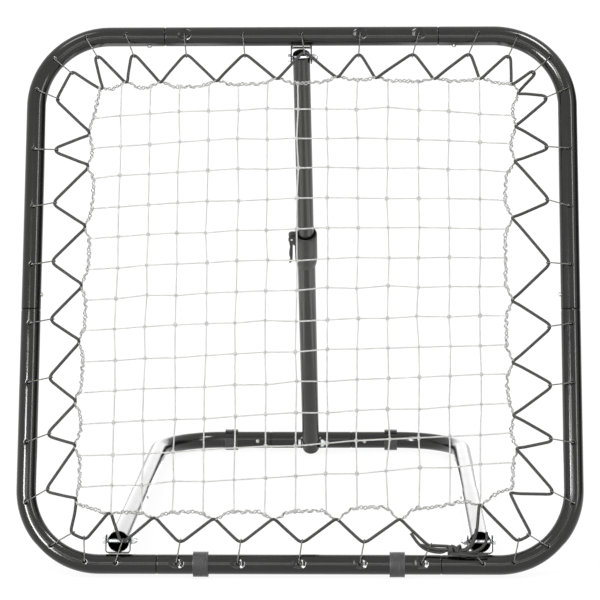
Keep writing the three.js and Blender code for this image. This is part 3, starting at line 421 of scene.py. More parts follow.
# A hollow tube along a path; stations is a list of (distance, radius), or one radius for a plain tube
def tubePiece(name, path, stations, wall, place, body, node):
    look, sides, lip = tubeLook, tubeLook["sides"], tubeLook["lip"]
    if not isinstance(stations, list):
        stations = [(0, stations), (pathLength(path), stations)]
    dents = dentsOn(path) if place is framePlane else []
    normal = Vector((0, 0, 1) if place is basePlane else (0, 1, 0))  # square to the plane of the bends
    first, last = stations[0][0], stations[-1][0]
    # rings close beside a shoulder keep its shading off the long straight faces
    beside = (-look["shoulder"], 0, look["shoulder"])
    marks = {round(s + aside, 3) for s, _ in stations for aside in beside}
    marks |= {round(first + lip, 3), round(last - lip, 3)}
    for begin, length, piece in path:
        gap = look["ringGap"] if piece[0] == "line" else look["bendGap"]
        low, high = max(begin, first), min(begin + length, last)
        steps = max(1, ceil((high - low) / gap))
        if high > low:
            marks |= {round(low + (high - low) * i / steps, 3) for i in range(steps + 1)}
    for spot, _, press in dents:
        count = ceil(press["radius"] / look["dentGap"])
        marks |= {round(spot + i * look["dentGap"], 3) for i in range(-count, count + 1)}
    distances = [d for d in sorted(marks) if first <= d <= last]
    distances = [d for i, d in enumerate(distances) if i == 0 or d - distances[i - 1] > look["leastGap"]]
    radii = np.interp(distances, [s for s, _ in stations], [r for _, r in stations])
    angles = np.arange(sides) * 2 * pi / sides
    points = []
    for inside in (False, True):
        for distance, radius in zip(distances, radii):
            point, direction = pathAt(path, distance)
            sideways = direction.cross(normal)
            fade = max(0.0, lip - (distance - first), lip - (last - distance)) / lip
            lipCut = lip * (1 - sqrt(max(0.0, 1 - fade * fade)))
            ring = np.full(sides, radius - (wall - lipCut if inside else lipCut))
            for spot, around, press in dents:
                if abs(distance - spot) > press["radius"]:
                    continue
                bend = (angles - around + pi) % (2 * pi) - pi
                away = np.hypot(distance - spot, bend * radius)
                bowl = np.clip((1 - away / press["radius"]) / look["dentWall"], 0, 1)
                pit = np.clip((press["hole"] + look["pitLip"] - away) / look["pitWall"], 0, 1)
                ring = ring - press["depth"] * bowl - press["pit"] * pit
            for angle, size in zip(angles, ring):
                points.append(point + (sideways * cos(angle) + normal * sin(angle)) * size)
    rings = len(distances)
    shell = sides * rings
    faces = ringFaces(rings, sides) + ringFaces(rings, sides, shell)
    for end in (0, shell - sides):
        for j in range(sides):
            k = (j + 1) % sides
            faces.append((end + j, end + k, shell + end + k, shell + end + j))
    paint, slotName = (strutPaint, "strut_paint") if place is strutAxis else (framePaint, "black_paint")
    mount(meshObject(name, points, faces, place, paint, look["smooth"]), body, slotName, node)


wall = layout["tubeWall"]
for row, z in (("top", span), ("bottom", 0)):
    line = filletPath([(-jointX, 0, z), (jointX, 0, z)])
    tubePiece(f"{row}_tube_painted", line, tubeStations(line, True, True), wall, framePlane, "frame",
              f"frame_{row}_tube")
    for side, sign in bothSides:
        corners = [(sign * jointX, 0, z), (sign * half, 0, z), (sign * half, 0, layout["sideJoint"])]
        bent = filletPath(corners, corner)
        tubePiece(f"{row}_{side}_corner_tube_painted", bent, tubeStations(bent, False, row == "bottom"),
                  wall, framePlane, "frame", f"frame_corner_tube_{row}_{side}")
print("frame tubes ready")

legJoint = layout["legJoint"]
for side, sign in bothSides:
    line = filletPath([(sign * legX, -layout["legNose"], 0), (sign * legX, legJoint, 0)])
    tubePiece(f"{side}_leg_painted", line, layout["legRadius"], layout["legWall"], basePlane, "base",
              f"base_leg_{side}")
    corners = [(sign * legX, legJoint - joint["insert"], 0), (sign * legX, baseDepth, 0),
               (sign * rearHalf, baseDepth, 0)]
    bent = filletPath(corners, corner)
    tubePiece(f"{side}_rear_corner_tube_painted", bent, tubeR, wall, basePlane, "base",
              f"base_corner_tube_{side}")
line = filletPath([(-rearHalf, baseDepth, 0), (rearHalf, baseDepth, 0)])
tubePiece("rear_centre_tube_painted", line, tubeStations(line, True, True), wall, basePlane, "base",
          "base_centre_tube")
print("base tubes ready")


# Profile pairs are (radius, height); the piece is turned about +Z, on axis where the radius is 0
def turnedMesh(name, profile, place, material, sides=48, smoothAngle=35, closedLoop=False):
    points, faces, rings = [], [], []
    for radius, height in profile:
        if radius < 1e-6:
            rings.append([len(points)])
            points.append((0, 0, height))
            continue
        rings.append(list(range(len(points), len(points) + sides)))
        points += [(radius * cos(2 * pi * j / sides), radius * sin(2 * pi * j / sides),
                    height) for j in range(sides)]
    for low, high in list(zip(rings, rings[1:])) + ([(rings[-1], rings[0])] if closedLoop else []):
        for j in range(sides):
            k = (j + 1) % sides
            quad = [low[j % len(low)], low[k % len(low)], high[k % len(high)], high[j % len(high)]]
            faces.append(list(dict.fromkeys(quad)))
    return meshObject(name, points, faces, place, material, smoothAngle)


def aligned(spot, direction):
    # turns +Z to direction and moves the origin to spot
    return Matrix.Translation(Vector(spot)) @ Vector(direction).to_track_quat("Z", "Y").to_matrix().to_4x4()


# Strut: lower tube, its rounded end plug, the sliding upper tube and its guide
strut = {"lowerRadius": 17.5, "lowerWall": 1.3, "upperRadius": 15.9, "upperWall": 1.5, "foot": 12,
         "lowerTop": 590, "dome": 9.5, "plugGap": 0.3, "plugEnd": -6.4, "upperLength": 780, "nose": 8,
         "guideBelow": 6, "guideLength": 34}
lowR = strut["lowerRadius"]
strutTop = strutLength + strut["nose"]
strutEnd = strutTop - strut["upperLength"]
for part, low, top in (("lower", -strut["foot"], strut["lowerTop"]), ("upper", strutEnd, strutTop)):
    tubePiece(f"{part}_strut_tube_painted", filletPath([(0, 0, low), (0, 0, top)]), strut[part + "Radius"],
              strut[part + "Wall"], strutAxis, f"strut_{part}", f"strut_{part}_tube")
rim, inner = -strut["foot"] - strut["plugGap"], strut["plugEnd"]
dome = [(0, rim - strut["dome"])]
dome += [(lowR * cos(t), rim - strut["dome"] * sin(t))
         for t in (step / 12 * pi / 2 for step in range(11, -1, -1))]
dome += [(15.9, rim), (15.9, inner - 0.6), (15.3, inner), (0, inner)]
mount(turnedMesh("strut_end_plug_moulded", dome, strutAxis, blackPlastic), "strut_lower", "black_plastic",
      "strut_end_plug")
low, top = strutEnd - strut["guideBelow"], strutEnd + strut["guideLength"]
guide = [(0, low), (15.4, low), (16.0, low + 0.6), (16.0, strutEnd - 0.5), (14.0, strutEnd - 0.3),
         (14.0, top - 1), (13.2, top), (0, top)]
mount(turnedMesh("strut_guide_moulded", guide, strutAxis, blackPlastic), "strut_upper", "black_plastic",
      "strut_guide")


def extruded(name, outline, thickness, material, bevel):
    # a flat outline in the XZ plane, thickness along Y, its edges rounded by bevel
    points = [(x, y, z) for y in (-thickness / 2, thickness / 2) for x, z in outline]
    count = len(outline)
    faces = [tuple(range(count)), tuple(reversed(range(count, 2 * count)))]
    faces += [(i, (i + 1) % count, (i + 1) % count + count, i + count) for i in range(count)]
    piece = meshObject(name, points, faces, Matrix(), material, 30)
    edge = piece.modifiers.new("edge", "BEVEL")
    edge.width = bevel * mm
    edge.segments = 3
    edge.limit_method = "ANGLE"
    edge.angle_limit = radians(50)
    return applyModifiers(piece)


def arcPoints(x, z, radius, start, end, steps):
    turns = [radians(start + (end - start) * i / steps) for i in range(steps + 1)]
    return [(x + radius * cos(t), z + radius * sin(t)) for t in turns]


def joined(name, pieces, place):
    # merges pieces drawn about the origin into one, then sets it in place
    shape = bmesh.new()
    for piece in pieces:
        shape.from_mesh(piece.data)
    mesh = bpy.data.meshes.new(name)
    shape.to_mesh(mesh)
    shape.free()
    mesh.transform(toMetres @ place @ Matrix.Scale(1 / mm, 4))
    mesh.materials.append(pieces[0].data.materials[0])
    for piece in pieces:
        bpy.data.objects.remove(piece)
    return linked(name, mesh)


# Clamp: a sleeve with a flared rim, and a cam lever folded down beside it on a pin between two lugs
clamp = {"bottom": 542, "length": 84, "radius": 22, "taper": 14, "bore": 16.2, "leverHeight": 616,
         "pinOffset": 27.5, "pinRadius": 2, "leverWidth": 9, "lug": 4, "lugRadius": 6.4, "gap": 0.3,
         "camRadius": 8.6}
low, top, outer = clamp["bottom"], clamp["bottom"] + clamp["length"], clamp["radius"]
seat = strut["lowerTop"] + clamp["gap"]
sleeve = [
    (17.8, low), (18.9, low), (19.4, low + 0.8), (21.4, low + clamp["taper"] - 2),
    (outer, low + clamp["taper"]), (outer, top - 10), (outer, top - 3), (21.6, top - 1.2), (20.6, top),
    (19.6, top), (19.0, top - 0.8), (clamp["bore"], top - 7), (clamp["bore"], seat), (17.8, seat)]
pinX, pinZ, lugR = -clamp["pinOffset"], clamp["leverHeight"], clamp["lugRadius"]
lugOutline = [(-18.4, pinZ - 20), (-18.4, pinZ + lugR), (pinX, pinZ + lugR)]
lugOutline += arcPoints(pinX, pinZ, lugR, 90, 180, 8) + [(pinX - lugR, pinZ - 4)]
collarParts = [turnedMesh("sleeve", sleeve, Matrix(), blackPlastic, 64, 30, True)]
lugMiddle = clamp["leverWidth"] / 2 + clamp["gap"] + clamp["lug"] / 2
for sign in (-1, 1):
    lug = extruded("lug", lugOutline, clamp["lug"], blackPlastic, 0.8)
    lug.data.transform(Matrix.Translation((0, sign * lugMiddle * mm, 0)))
    collarParts.append(lug)
collar = joined("clamp_collar_and_lugs", collarParts, strutAxis)
mount(collar, "strut_lower", "black_plastic", "clamp_collar")
camX = pinX + clamp["pinOffset"] - strut["upperRadius"] - clamp["gap"] - clamp["camRadius"]
leverOutline = arcPoints(camX, pinZ, clamp["camRadius"], -80, 170, 22)
leverOutline += [(-32.6, 603), (-31.6, 594), (-31.8, 584), (-33.4, 575), (-33.2, 569), (-31.9, 562),
                 (-32.2, 553), (-34.0, 548.6), (-33.2, 547.4), (-29.6, 549), (-27.2, 556), (-26.4, 570),
                 (-26.0, 590), (-25.0, 601)]
lever = extruded("lever", leverOutline, clamp["leverWidth"], blackPlastic, 1.1)
mount(joined("clamp_lever_moulded", [lever], strutAxis), "clamp_lever", "black_plastic", "clamp_lever")
end, pinR = clamp["leverWidth"] / 2 + clamp["gap"] + clamp["lug"] + 0.8, clamp["pinRadius"]
pinProfile = [(0, -end), (pinR - 0.4, -end), (pinR, -end + 0.4)]
pinProfile += [(radius, -height) for radius, height in reversed(pinProfile)]
pin = turnedMesh("clamp_lever_pin_turned", pinProfile,
                 strutAxis @ aligned((pinX, 0, pinZ), (0, 1, 0)), boltZinc, 24)
mount(pin, "strut_lower", "zinc_plated_steel", "clamp_lever_pin")
print("strut and clamp ready")

# Brackets: a folded steel strip with round ends
bracket = {"wall": 2.5, "width": 22, "bendRadius": 4.5, "foot": 17.8, "sideGap": 1, "notch": 5, "across": 9}


def bracketPiece(name, inner, notchSide, place):
    # the strip's middle line runs up one cheek, across the web and up the other
    wall, bend, across = bracket["wall"], bracket["bendRadius"], bracket["across"]
    x, radius = inner / 2 + wall / 2, bracket["width"] / 2
    low, high = bracket["foot"] + wall / 2, reach + radius
    line = [(-x, high - t) for t in (0.02, 0.4, 1.2, 2.4, 4, 6, 8.5, 11, 16)]
    line += [(-x + bend - bend * cos(t), low + bend - bend * sin(t))
             for t in np.linspace(0, pi / 2, 8)]
    line += [(-x + bend + 0.2, low), (-x + bend + 2, low)]
    line += [(-a, b) for a, b in reversed(line)]
    tangents = [Vector(b) - Vector(a) for a, b in zip([line[0]] + line[:-1], line[1:] + [line[-1]])]
    points, faces = [], []
    for (px, pz), tangent in zip(line, tangents):
        drop = min(max(high - pz, 0), radius)
        wide = sqrt(max(radius ** 2 - (radius - drop) ** 2, 0.01))
        lowSide, highSide = -wide, wide
        if notchSide and abs(px) < inner / 2 - 1 and pz < low + 0.5:
            lowSide, highSide = (-wide, -bracket["notch"]) if notchSide > 0 else (bracket["notch"], wide)
        side = Vector((tangent[1], -tangent[0])).normalized() * wall / 2
        for face in (-1, 1):
            points += [(px + face * side[0], lowSide + (highSide - lowSide) * i / (across - 1),
                        pz + face * side[1]) for i in range(across)]
    row = 2 * across
    for start in range(0, (len(line) - 1) * row, row):
        for a in [start + layer + j for layer in (0, across) for j in range(across - 1)]:
            faces.append((a, a + 1, a + 1 + row, a + row))
        for a in (start, start + across - 1):
            faces.append((a, a + across, a + across + row, a + row))
    for end in (0, (len(line) - 1) * row):
        faces += [(a, a + 1, a + 1 + across, a + across) for a in range(end, end + across - 1)]
    return meshObject(name, points, faces, place, framePaint)


# Bolts and nuts: hexagons with the turned chamfer of a real head, on a rod with its thread
hexBolt = {"radius": 4, "headWidth": 13, "headHeight": 5.3, "nutBody": 5.8, "nutHeight": 8, "tail": 3,
           "slack": 0.05, "threadPitch": 1.25, "threadDepth": 0.45, "threadLength": 16}


def hexSolid(name, bottom, top, chamfer):
    # each ring's height, and how far from the axis its corners are turned off, as a share of half the width
    flat, sides, uncut = hexBolt["headWidth"] / 2, 36, 99
    rings = ((bottom, 1.02), (bottom + 0.3, uncut), (top - chamfer, uncut), (top - chamfer * 0.4, 1.06),
             (top, 0.93))
    points = []
    for height, cut in rings:
        for j in range(sides):
            angle = 2 * pi * j / sides
            radius = min(flat / cos((angle % (pi / 3)) - pi / 6), flat * cut)
            points.append((radius * cos(angle), radius * sin(angle), height))
    faces = ringFaces(len(rings), sides)
    faces += [tuple(reversed(range(sides))), tuple(range(len(points) - sides, len(points)))]
    return meshObject(name, points, faces, Matrix(), boltZinc, 25)


def threadedRod(name, start, end):
    # fine rings stand for the thread on the last stretch
    radius, root = hexBolt["radius"], hexBolt["radius"] - hexBolt["threadDepth"]
    profile = [(0, start), (radius - 0.8, start), (root, start + 0.6)]
    height = start + 1.0
    while height < start + hexBolt["threadLength"]:
        profile += [(radius, height), (root, height + hexBolt["threadPitch"] / 2)]
        height += hexBolt["threadPitch"]
    profile += [(radius, height), (radius, end), (0, end)]
    return turnedMesh(name, profile, Matrix(), boltZinc, 20, 60)


# A bracket with its bolt and nut; headSide is the side of the bolt's head, -1 for left
def pivotSet(names, nodes, body, place, inner, notchSide, headSide):
    mount(bracketPiece(names[0], inner, notchSide, place), body, "black_paint", nodes[0])
    face = inner / 2 + bracket["wall"] + hexBolt["slack"]
    top = face + hexBolt["nutHeight"]
    head = hexSolid("head", face, face + hexBolt["headHeight"], 0.9)
    rod = threadedRod("rod", -top - hexBolt["tail"], face + 0.5)
    bolt = joined(names[1], [head, rod], place @ aligned((0, 0, reach), (headSide, 0, 0)))
    mount(bolt, body, "zinc_plated_steel", nodes[1])
    hexPart = hexSolid("nut", face, face + hexBolt["nutBody"], 0.6)
    collarRing = [(4.3, face + 5), (5.7, face + 5), (5.7, top - 1.2), (5.0, top - 0.1), (4.4, top),
                  (4.3, top - 0.3)]
    crown = turnedMesh("crown", collarRing, Matrix(), boltZinc, 32, 40, True)
    nut = joined(names[2], [hexPart, crown], place @ aligned((0, 0, reach), (-headSide, 0, 0)))
    mount(nut, body, "zinc_plated_steel", nodes[2])


fromTop = framePlane @ Matrix.Translation((0, 0, span)) @ Matrix.Rotation(pi, 4, "X")
fromRear = basePlane @ Matrix.Translation((0, baseDepth, 0)) @ Matrix.Rotation(pi / 2, 4, "X")
for side, sign in bothSides:
    pivotSet((f"{side}_leg_bracket_folded", f"{side}_leg_bolt", f"{side}_leg_nut"),
             (f"leg_bracket_{side}", f"leg_pivot_bolt_{side}", f"leg_pivot_nut_{side}"), "frame",
             framePlane @ Matrix.Translation((sign * legX, 0, 0)),
             2 * layout["legRadius"] + 2 * bracket["sideGap"], 0, sign)
for end, body, place, radius, notchSide in (("top", "frame", fromTop, strut["upperRadius"], 1),
                                            ("rear", "base", fromRear, strut["lowerRadius"], -1)):
    pivotSet([f"strut_{end}_{part}" for part in ("bracket_folded", "bolt_turned", "nut_turned")],
             [f"strut_{end}_{part}" for part in ("bracket", "bolt", "nut")], body, place,
             2 * radius + 2 * bracket["sideGap"], notchSide, -1)
print("brackets, bolts and nuts ready")

# Ring feet: ribbed clips, flat underneath, whose mouth opens at the hidden upper back
foot = {"width": 26.5, "bore": 17.8, "radius": 22.5, "ribs": 9, "ribSteps": 6, "ribDepth": 0.9, "mouth": 50,
        "sides": 96}
feet = {
    "front": {"body": "frame", "place": framePlane, "x": 172, "y": 0, "turn": lean, "mouthAt": 225},
    "rear": {"body": "base", "place": basePlane, "x": 170, "y": baseDepth, "turn": baseSlope,
             "mouthAt": 135},
}


def ringFoot(end, side, sign):
    mine, bore, radius = feet[end], foot["bore"], foot["radius"]
    edge = foot["width"] / 2
    outline = [(bore, -edge + 0.6), (bore + 0.6, -edge), (radius - 0.8, -edge), (radius - 0.2, -edge + 0.4)]
    steps = foot["ribs"] * foot["ribSteps"]
    for i in range(steps + 1):
        groove = 0.5 - 0.5 * cos(2 * pi * i / foot["ribSteps"])
        height = -edge + 1.2 + (foot["width"] - 2.4) * i / steps
        outline.append((radius - foot["ribDepth"] * groove, height))
    outline += [(radius - 0.2, edge - 0.4), (radius - 0.8, edge), (bore + 0.6, edge), (bore, edge - 0.6)]
    # angles run round the tube from straight down
    gap = radians(foot["mouth"])
    first = radians(mine["mouthAt"]) + gap / 2
    angles = [first + (2 * pi - gap) * i / foot["sides"] for i in range(foot["sides"] + 1)]
    sole = radius - layout["soleDepth"]
    points = []
    for angle in angles:
        for size, across in outline:
            down = size * cos(angle)
            flatten = sole / down if down > sole else 1
            points.append((across, -size * sin(angle), -down * flatten))
    count, total = len(outline), len(points)
    faces = ringFaces(len(angles), count) + [tuple(range(count)), tuple(range(total - count, total))]
    place = mine["place"] @ Matrix.Translation((sign * mine["x"], mine["y"], 0))
    place = place @ Matrix.Rotation(mine["turn"], 4, "X")
    piece = meshObject(f"{end}_{side}_foot_moulded", points, faces, place, greyPlastic, 30)
    mount(piece, mine["body"], "grey_plastic", f"{end}_foot_{side}")


for side, sign in bothSides:
    ringFoot("front", side, sign)
    ringFoot("rear", side, sign)

# Snap buttons: a domed pin on a leaf inside the tube
button = {"radius": 4, "domeFlat": 2.4, "standOut": 3.4, "setback": 28, "armLength": 30, "armWidth": 9,
          "armThickness": 1.2, "armShift": 8, "seat": 13.9, "legSeat": 15.7}
back = button["setback"]
# each row's right button: its spot, the way it faces and the way its leaf runs; the left one is its mirror
buttonRows = {
    "top": ((jointX + back, 0, span), (0, 0, -1), (-1, 0, 0), framePlane),
    "side": ((half, 0, layout["sideJoint"] + back), (-1, 0, 0), (0, 0, -1), framePlane),
    "bottom": ((jointX + back, 0, 0), (0, 1, 0), (-1, 0, 0), framePlane),
    "leg": ((legX, legJoint - back, 0), (-1, 0, 0), (0, 1, 0), basePlane),
    "rear": ((rearHalf + back, baseDepth, 0), (0, -1, 0), (-1, 0, 0), basePlane),
}


def snapButton(row, side, sign):
    *ways, place = buttonRows[row]
    spot, facing, along = [Vector((sign * x, y, z)) for x, y, z in ways]
    dome = button["radius"] - button["domeFlat"]
    top = tubeR + button["standOut"]
    bottom = (button["legSeat"] if row == "leg" else button["seat"]) - dome
    profile = [(0, bottom), (button["radius"], bottom), (button["radius"], top - dome)]
    profile += [(button["domeFlat"] + dome * cos(t), top - dome + dome * sin(t))
                for t in np.linspace(0.2, pi / 2, 6)]
    head = turnedMesh("head", profile + [(0, top)], aligned((0, 0, 0), facing), buttonSteel, 32)
    across = facing.cross(along)
    basis = Matrix((across, facing, across.cross(facing))).transposed().to_4x4()
    w, l, cut = button["armWidth"] / 2, button["armLength"] / 2, 2
    outline = [(-w, -l + cut), (-w + cut, -l), (w - cut, -l), (w, -l + cut), (w, l - cut), (w - cut, l),
               (-w + cut, l), (-w, l - cut)]
    arm = extruded("arm", outline, button["armThickness"], buttonSteel, 0.3)
    middle = facing * (bottom - button["armThickness"] / 2) + along * (l - button["armShift"])
    arm.data.transform(Matrix.Translation(middle * mm) @ basis)
    piece = joined(f"{row}_{side}_snap_button_pressed", [head, arm], place @ Matrix.Translation(spot))
    mount(piece, f"snap_button_{row}_{side}_body", "zinc_plated_steel", f"snap_button_{row}_{side}")


for row in buttonRows:
    for side, sign in bothSides:
        snapButton(row, side, sign)
print("feet and buttons ready")


# Geometry Nodes: round wire along every line of a mesh, and knots on every point
def startTree(name, sizes):
    group = bpy.data.node_groups.new(name, "GeometryNodeTree")
    for label, kind, value in [("Seeds", "Geometry", None)] + sizes + [("Finish", "Material", None)]:
        socket = group.interface.new_socket(label, in_out="INPUT", socket_type="NodeSocket" + kind)
        if value is not None:
            socket.default_value = value
    group.interface.new_socket("Made", in_out="OUTPUT", socket_type="NodeSocketGeometry")
    return group, addNode(group, "NodeGroupInput", out=None)


def endTree(group, given, shape):
    smooth = addNode(group, "GeometryNodeSetShadeSmooth", {"Geometry": shape, "Shade Smooth": True})
    real = addNode(group, "GeometryNodeRealizeInstances", {"Geometry": smooth})
    made = addNode(group, "GeometryNodeSetMaterial", {"Geometry": real, "Material": given["Finish"]})
    addNode(group, "NodeGroupOutput", {0: made})
    return group


def wireTree():
    group, given = startTree("wire_along_lines", [("Wire Radius", "Float", 1.5 * mm), ("Sides", "Int", 8)])
    curve = addNode(group, "GeometryNodeMeshToCurve", {"Mesh": given["Seeds"]})
    along = addNode(group, "GeometryNodeSplineParameter", out="Length")
    marked = addNode(group, "GeometryNodeStoreNamedAttribute", {
        "Geometry": curve, "Name": "along", "Value": along}, data_type="FLOAT", domain="POINT")
    circle = addNode(group, "GeometryNodeCurvePrimitiveCircle", {
        "Resolution": given["Sides"], "Radius": given["Wire Radius"]})
    spot = addNode(group, "GeometryNodeInputPosition")
    unit = addNode(group, "ShaderNodeVectorMath", {0: spot}, operation="NORMALIZE")
    ring = addNode(group, "GeometryNodeStoreNamedAttribute", {
        "Geometry": circle, "Name": "ring", "Value": unit}, data_type="FLOAT_VECTOR", domain="POINT")
    tube = addNode(group, "GeometryNodeCurveToMesh", {
        "Curve": marked, "Profile Curve": ring, "Fill Caps": True})
    return endTree(group, given, tube)


def knotTree():
    group, given = startTree("knots_on_points", [
        ("Knot Radius", "Float", 3 * mm), ("Flatness", "Float", 0.6), ("Seed", "Int", 4)])
    ball = addNode(group, "GeometryNodeMeshIcoSphere", {"Radius": given["Knot Radius"], "Subdivisions": 2})
    turn = addNode(group, "FunctionNodeRandomValue", {
        0: (-0.15, -0.35, -0.15), 1: (0.15, 0.35, 0.15), "Seed": given["Seed"]}, data_type="FLOAT_VECTOR")
    size = addNode(group, "FunctionNodeRandomValue", {2: 0.85, 3: 1.2, "Seed": given["Seed"]}, out=1,
                   data_type="FLOAT")
    shape = addNode(group, "ShaderNodeCombineXYZ", {"X": 1.0, "Y": given["Flatness"], "Z": 1.15})
    scale = addNode(group, "ShaderNodeVectorMath", {0: shape, "Scale": size}, operation="SCALE")
    laid = addNode(group, "GeometryNodeInstanceOnPoints", {
        "Points": given["Seeds"], "Instance": ball, "Rotation": turn, "Scale": scale})
    return endTree(group, given, laid)


def grown(name, points, edges, group, values):
    # runs a tree on bare points and edges in the frame's plane, and keeps the result as a plain mesh
    mesh = bpy.data.meshes.new(name)
    mesh.from_pydata([tuple(p) for p in points], edges, [])
    mesh.transform(toMetres @ framePlane)
    piece = linked(name, mesh)
    modifier = piece.modifiers.new("grow", "NODES")
    modifier.node_group = group
    for item in group.interface.items_tree:
        if item.item_type == "SOCKET" and item.in_out == "INPUT" and item.name in values:
            modifier[item.identifier] = values[item.name]
    return applyModifiers(piece)


wire, knots = wireTree(), knotTree()


def wirePiece(name, lines, radius, sides, finish):
    points, edges = [], []
    for line in lines:
        first = len(points)
        points += line
        edges += [(first + i, first + i + 1) for i in range(len(line) - 1)]
    return grown(name, points, edges, wire, {"Wire Radius": radius * mm, "Sides": sides, "Finish": finish})


def smoothed(points, radius, steps):
    # rounds each corner of a polyline with a small curve that starts radius away from it
    points = [Vector(p) for p in points]
    line = [points[0]]
    for before, bend, after in zip(points, points[1:], points[2:]):
        a, b = [bend + (far - bend).normalized() * min(radius, (far - bend).length * 0.49)
                for far in (before, after)]
        line += [(a * (1 - t) + bend * t) * (1 - t) + (bend * (1 - t) + b * t) * t
                 for t in np.linspace(0, 1, steps)]
    return line + [points[-1]]


# Hooks of drawn wire, bent round the cord
hookLook = {"wire": 2.3, "slack": 0.5, "sides": 10, "bend": 1.6, "bendSteps": 5, "inTube": 4,
            "proud": 0.2, "curlFrom": 3}


def hookLine(hook):
    run = Vector((hook["tip"][0] - hook["x"], 0, hook["tip"][1] - hook["z"]))
    length, along = run.length, run.normalized()
    curl = (layout["cordDiameter"] + hookLook["wire"]) / 2 + hookLook["slack"]

    def spot(distance, depth):
        return Vector((hook["x"], depth, hook["z"])) + along * distance

    front = -tubeR - hookLook["wire"] / 2 - hookLook["proud"]
    line = [spot(0, -tubeR + hookLook["inTube"]), spot(0, front),
            spot(length - hookLook["curlFrom"], hook["depth"] - curl)]
    for turn in [(-0.5 + step / 6) * pi for step in range(1, 8)]:
        line.append(spot(length + curl * cos(turn), hook["depth"] + curl * sin(turn)))
    return smoothed(line, hookLook["bend"], hookLook["bendSteps"])


piece = wirePiece("lacing_hooks_bent_wire", [hookLine(hook) for hook in hooks], hookLook["wire"] / 2,
                  hookLook["sides"], hookSteel)
mount(piece, "frame", "zinc_plated_steel")

# Net: twisted twines knotted where they cross, inside a doubled border rope
netLook = {"twine": 1.25, "twineSides": 8, "twineSteps": 6, "twineWave": 0.7, "knot": 3.4,
           "knotFlatness": 0.62, "knotSeed": 4, "jitter": 1.2, "bulge": 0.5, "pullWidth": 17, "seed": 11}
# how far the pulled net strays from an even grid: the rise and tilt grow downwards, the sag upwards
netDrift = {"rise": 14, "tilt": 24, "bow": 4, "sag": 17, "shift": -6.3, "narrow": 7, "fan": 6.4}
# the border's rest line on each side, as (place along the side, place across it)
borderLine = {
    "top": ((-366, 862), (-330, 862), (-230, 866), (-60, 873), (0, 873), (100, 879), (210, 876), (330, 877),
            (383, 868)),
    "right": ((135, 377), (187, 375), (235, 373), (281, 370), (326, 367), (480, 367), (650, 367),
              (705, 370), (758, 379), (805, 382), (868, 383)),
    "bottom": ((-388, 104), (-350, 92), (-300, 90), (0, 92), (150, 101), (225, 98), (275, 107), (330, 119),
               (377, 135)),
    "left": ((104, -388), (190, -387), (300, -388), (480, -383), (656, -375), (691, -373), (740, -376),
             (794, -379), (862, -366)),
}
rng = np.random.default_rng(netLook["seed"])
cells, netDepth = layout["cells"], layout["netDepth"]
netBottom, netHalf = half - layout["netHeight"] / 2, layout["netWidth"] / 2


# The border is drawn out at each turn of the elastic cord and slackens between them
def borderPoint(side, place):
    places, levels = zip(*borderLine[side])
    upright = side in ("left", "right")
    pull = 0.0
    for _, x, z in edgeTurns[side]:
        spot, reachOut = (z, x) if upright else (x, z)
        share = exp(-((place - spot) / netLook["pullWidth"]) ** 2)
        here = (reachOut - np.interp(spot, places, levels)) * share
        pull = here if abs(here) > abs(pull) else pull
    level = np.interp(place, places, levels) + pull
    return (level, place) if upright else (place, level)


def netCrossings():
    grid = np.zeros((cells + 1, cells + 1, 2))
    for i in range(cells + 1):
        for j in range(cells + 1):
            u, w = 2 * i / cells - 1, 1 - j / cells
            x = netHalf * u + netDrift["shift"] - netDrift["narrow"] * u + netDrift["fan"] * w * u * u
            z = netBottom + layout["netHeight"] * w - netDrift["sag"] * w * u * u
            z += (1 - w) * (netDrift["rise"] + netDrift["tilt"] * u + netDrift["bow"] * u * u)
            sway = rng.normal(0, netLook["jitter"], 2)
            if j in (0, cells):
                side = "top" if j == 0 else "bottom"
                grid[i, j] = borderPoint(side, min(max(x, borderLine[side][0][0]), borderLine[side][-1][0]))
            elif i in (0, cells):
                grid[i, j] = borderPoint("left" if i == 0 else "right", z)
            else:
                grid[i, j] = (x + sway[0], z + sway[1])
    return grid


crossings = netCrossings()
bulge = rng.normal(0, netLook["bulge"], (cells + 1, cells + 1))


def twineLine(row, bulges, sign):
    # weaves a little in front of and behind the net's plane between its crossings
    line = []
    for i in range(cells):
        a, b = row[i], row[i + 1]
        for t in np.linspace(0, 1, netLook["twineSteps"], endpoint=False):
            wave = sign * netLook["twineWave"] * sin(2 * pi * t)
            forward = netDepth + wave + bulges[i] * (1 - t) + bulges[i + 1] * t
            line.append((a[0] + (b[0] - a[0]) * t, forward, a[1] + (b[1] - a[1]) * t))
    return line + [(row[-1][0], netDepth, row[-1][1])]


twines = []
for k in range(1, cells):
    twines += [twineLine(crossings[:, k], bulge[:, k], 1), twineLine(crossings[k], bulge[k], -1)]
piece = wirePiece("net_twines_twisted", twines, netLook["twine"], netLook["twineSides"], netTwine)
mount(piece, "frame", "net_twine", "net")
knotPoints = [(crossings[i, j][0], netDepth + bulge[i, j], crossings[i, j][1])
              for i in range(cells + 1) for j in range(cells + 1)]
piece = grown("net_knots_tied", knotPoints, [], knots, {
    "Knot Radius": netLook["knot"] * mm, "Flatness": netLook["knotFlatness"], "Seed": netLook["knotSeed"],
    "Finish": shadedKnotTwine})
mount(piece, "frame", "net_twine")

# the border's strands wind about each other; an uneven row is (share, over how many mm, shift by strand)
rope = {"radius": 1.1, "strands": 2, "pitch": 14.6, "sway": 2.7, "step": 2.0, "flat": 0.6, "tight": 0.6,
        "tightOver": 9, "unevenTurn": (1.1, 19, 1.7), "unevenWidth": ((0.3, 11, 2.4), (0.3, 3.7, 1.3))}


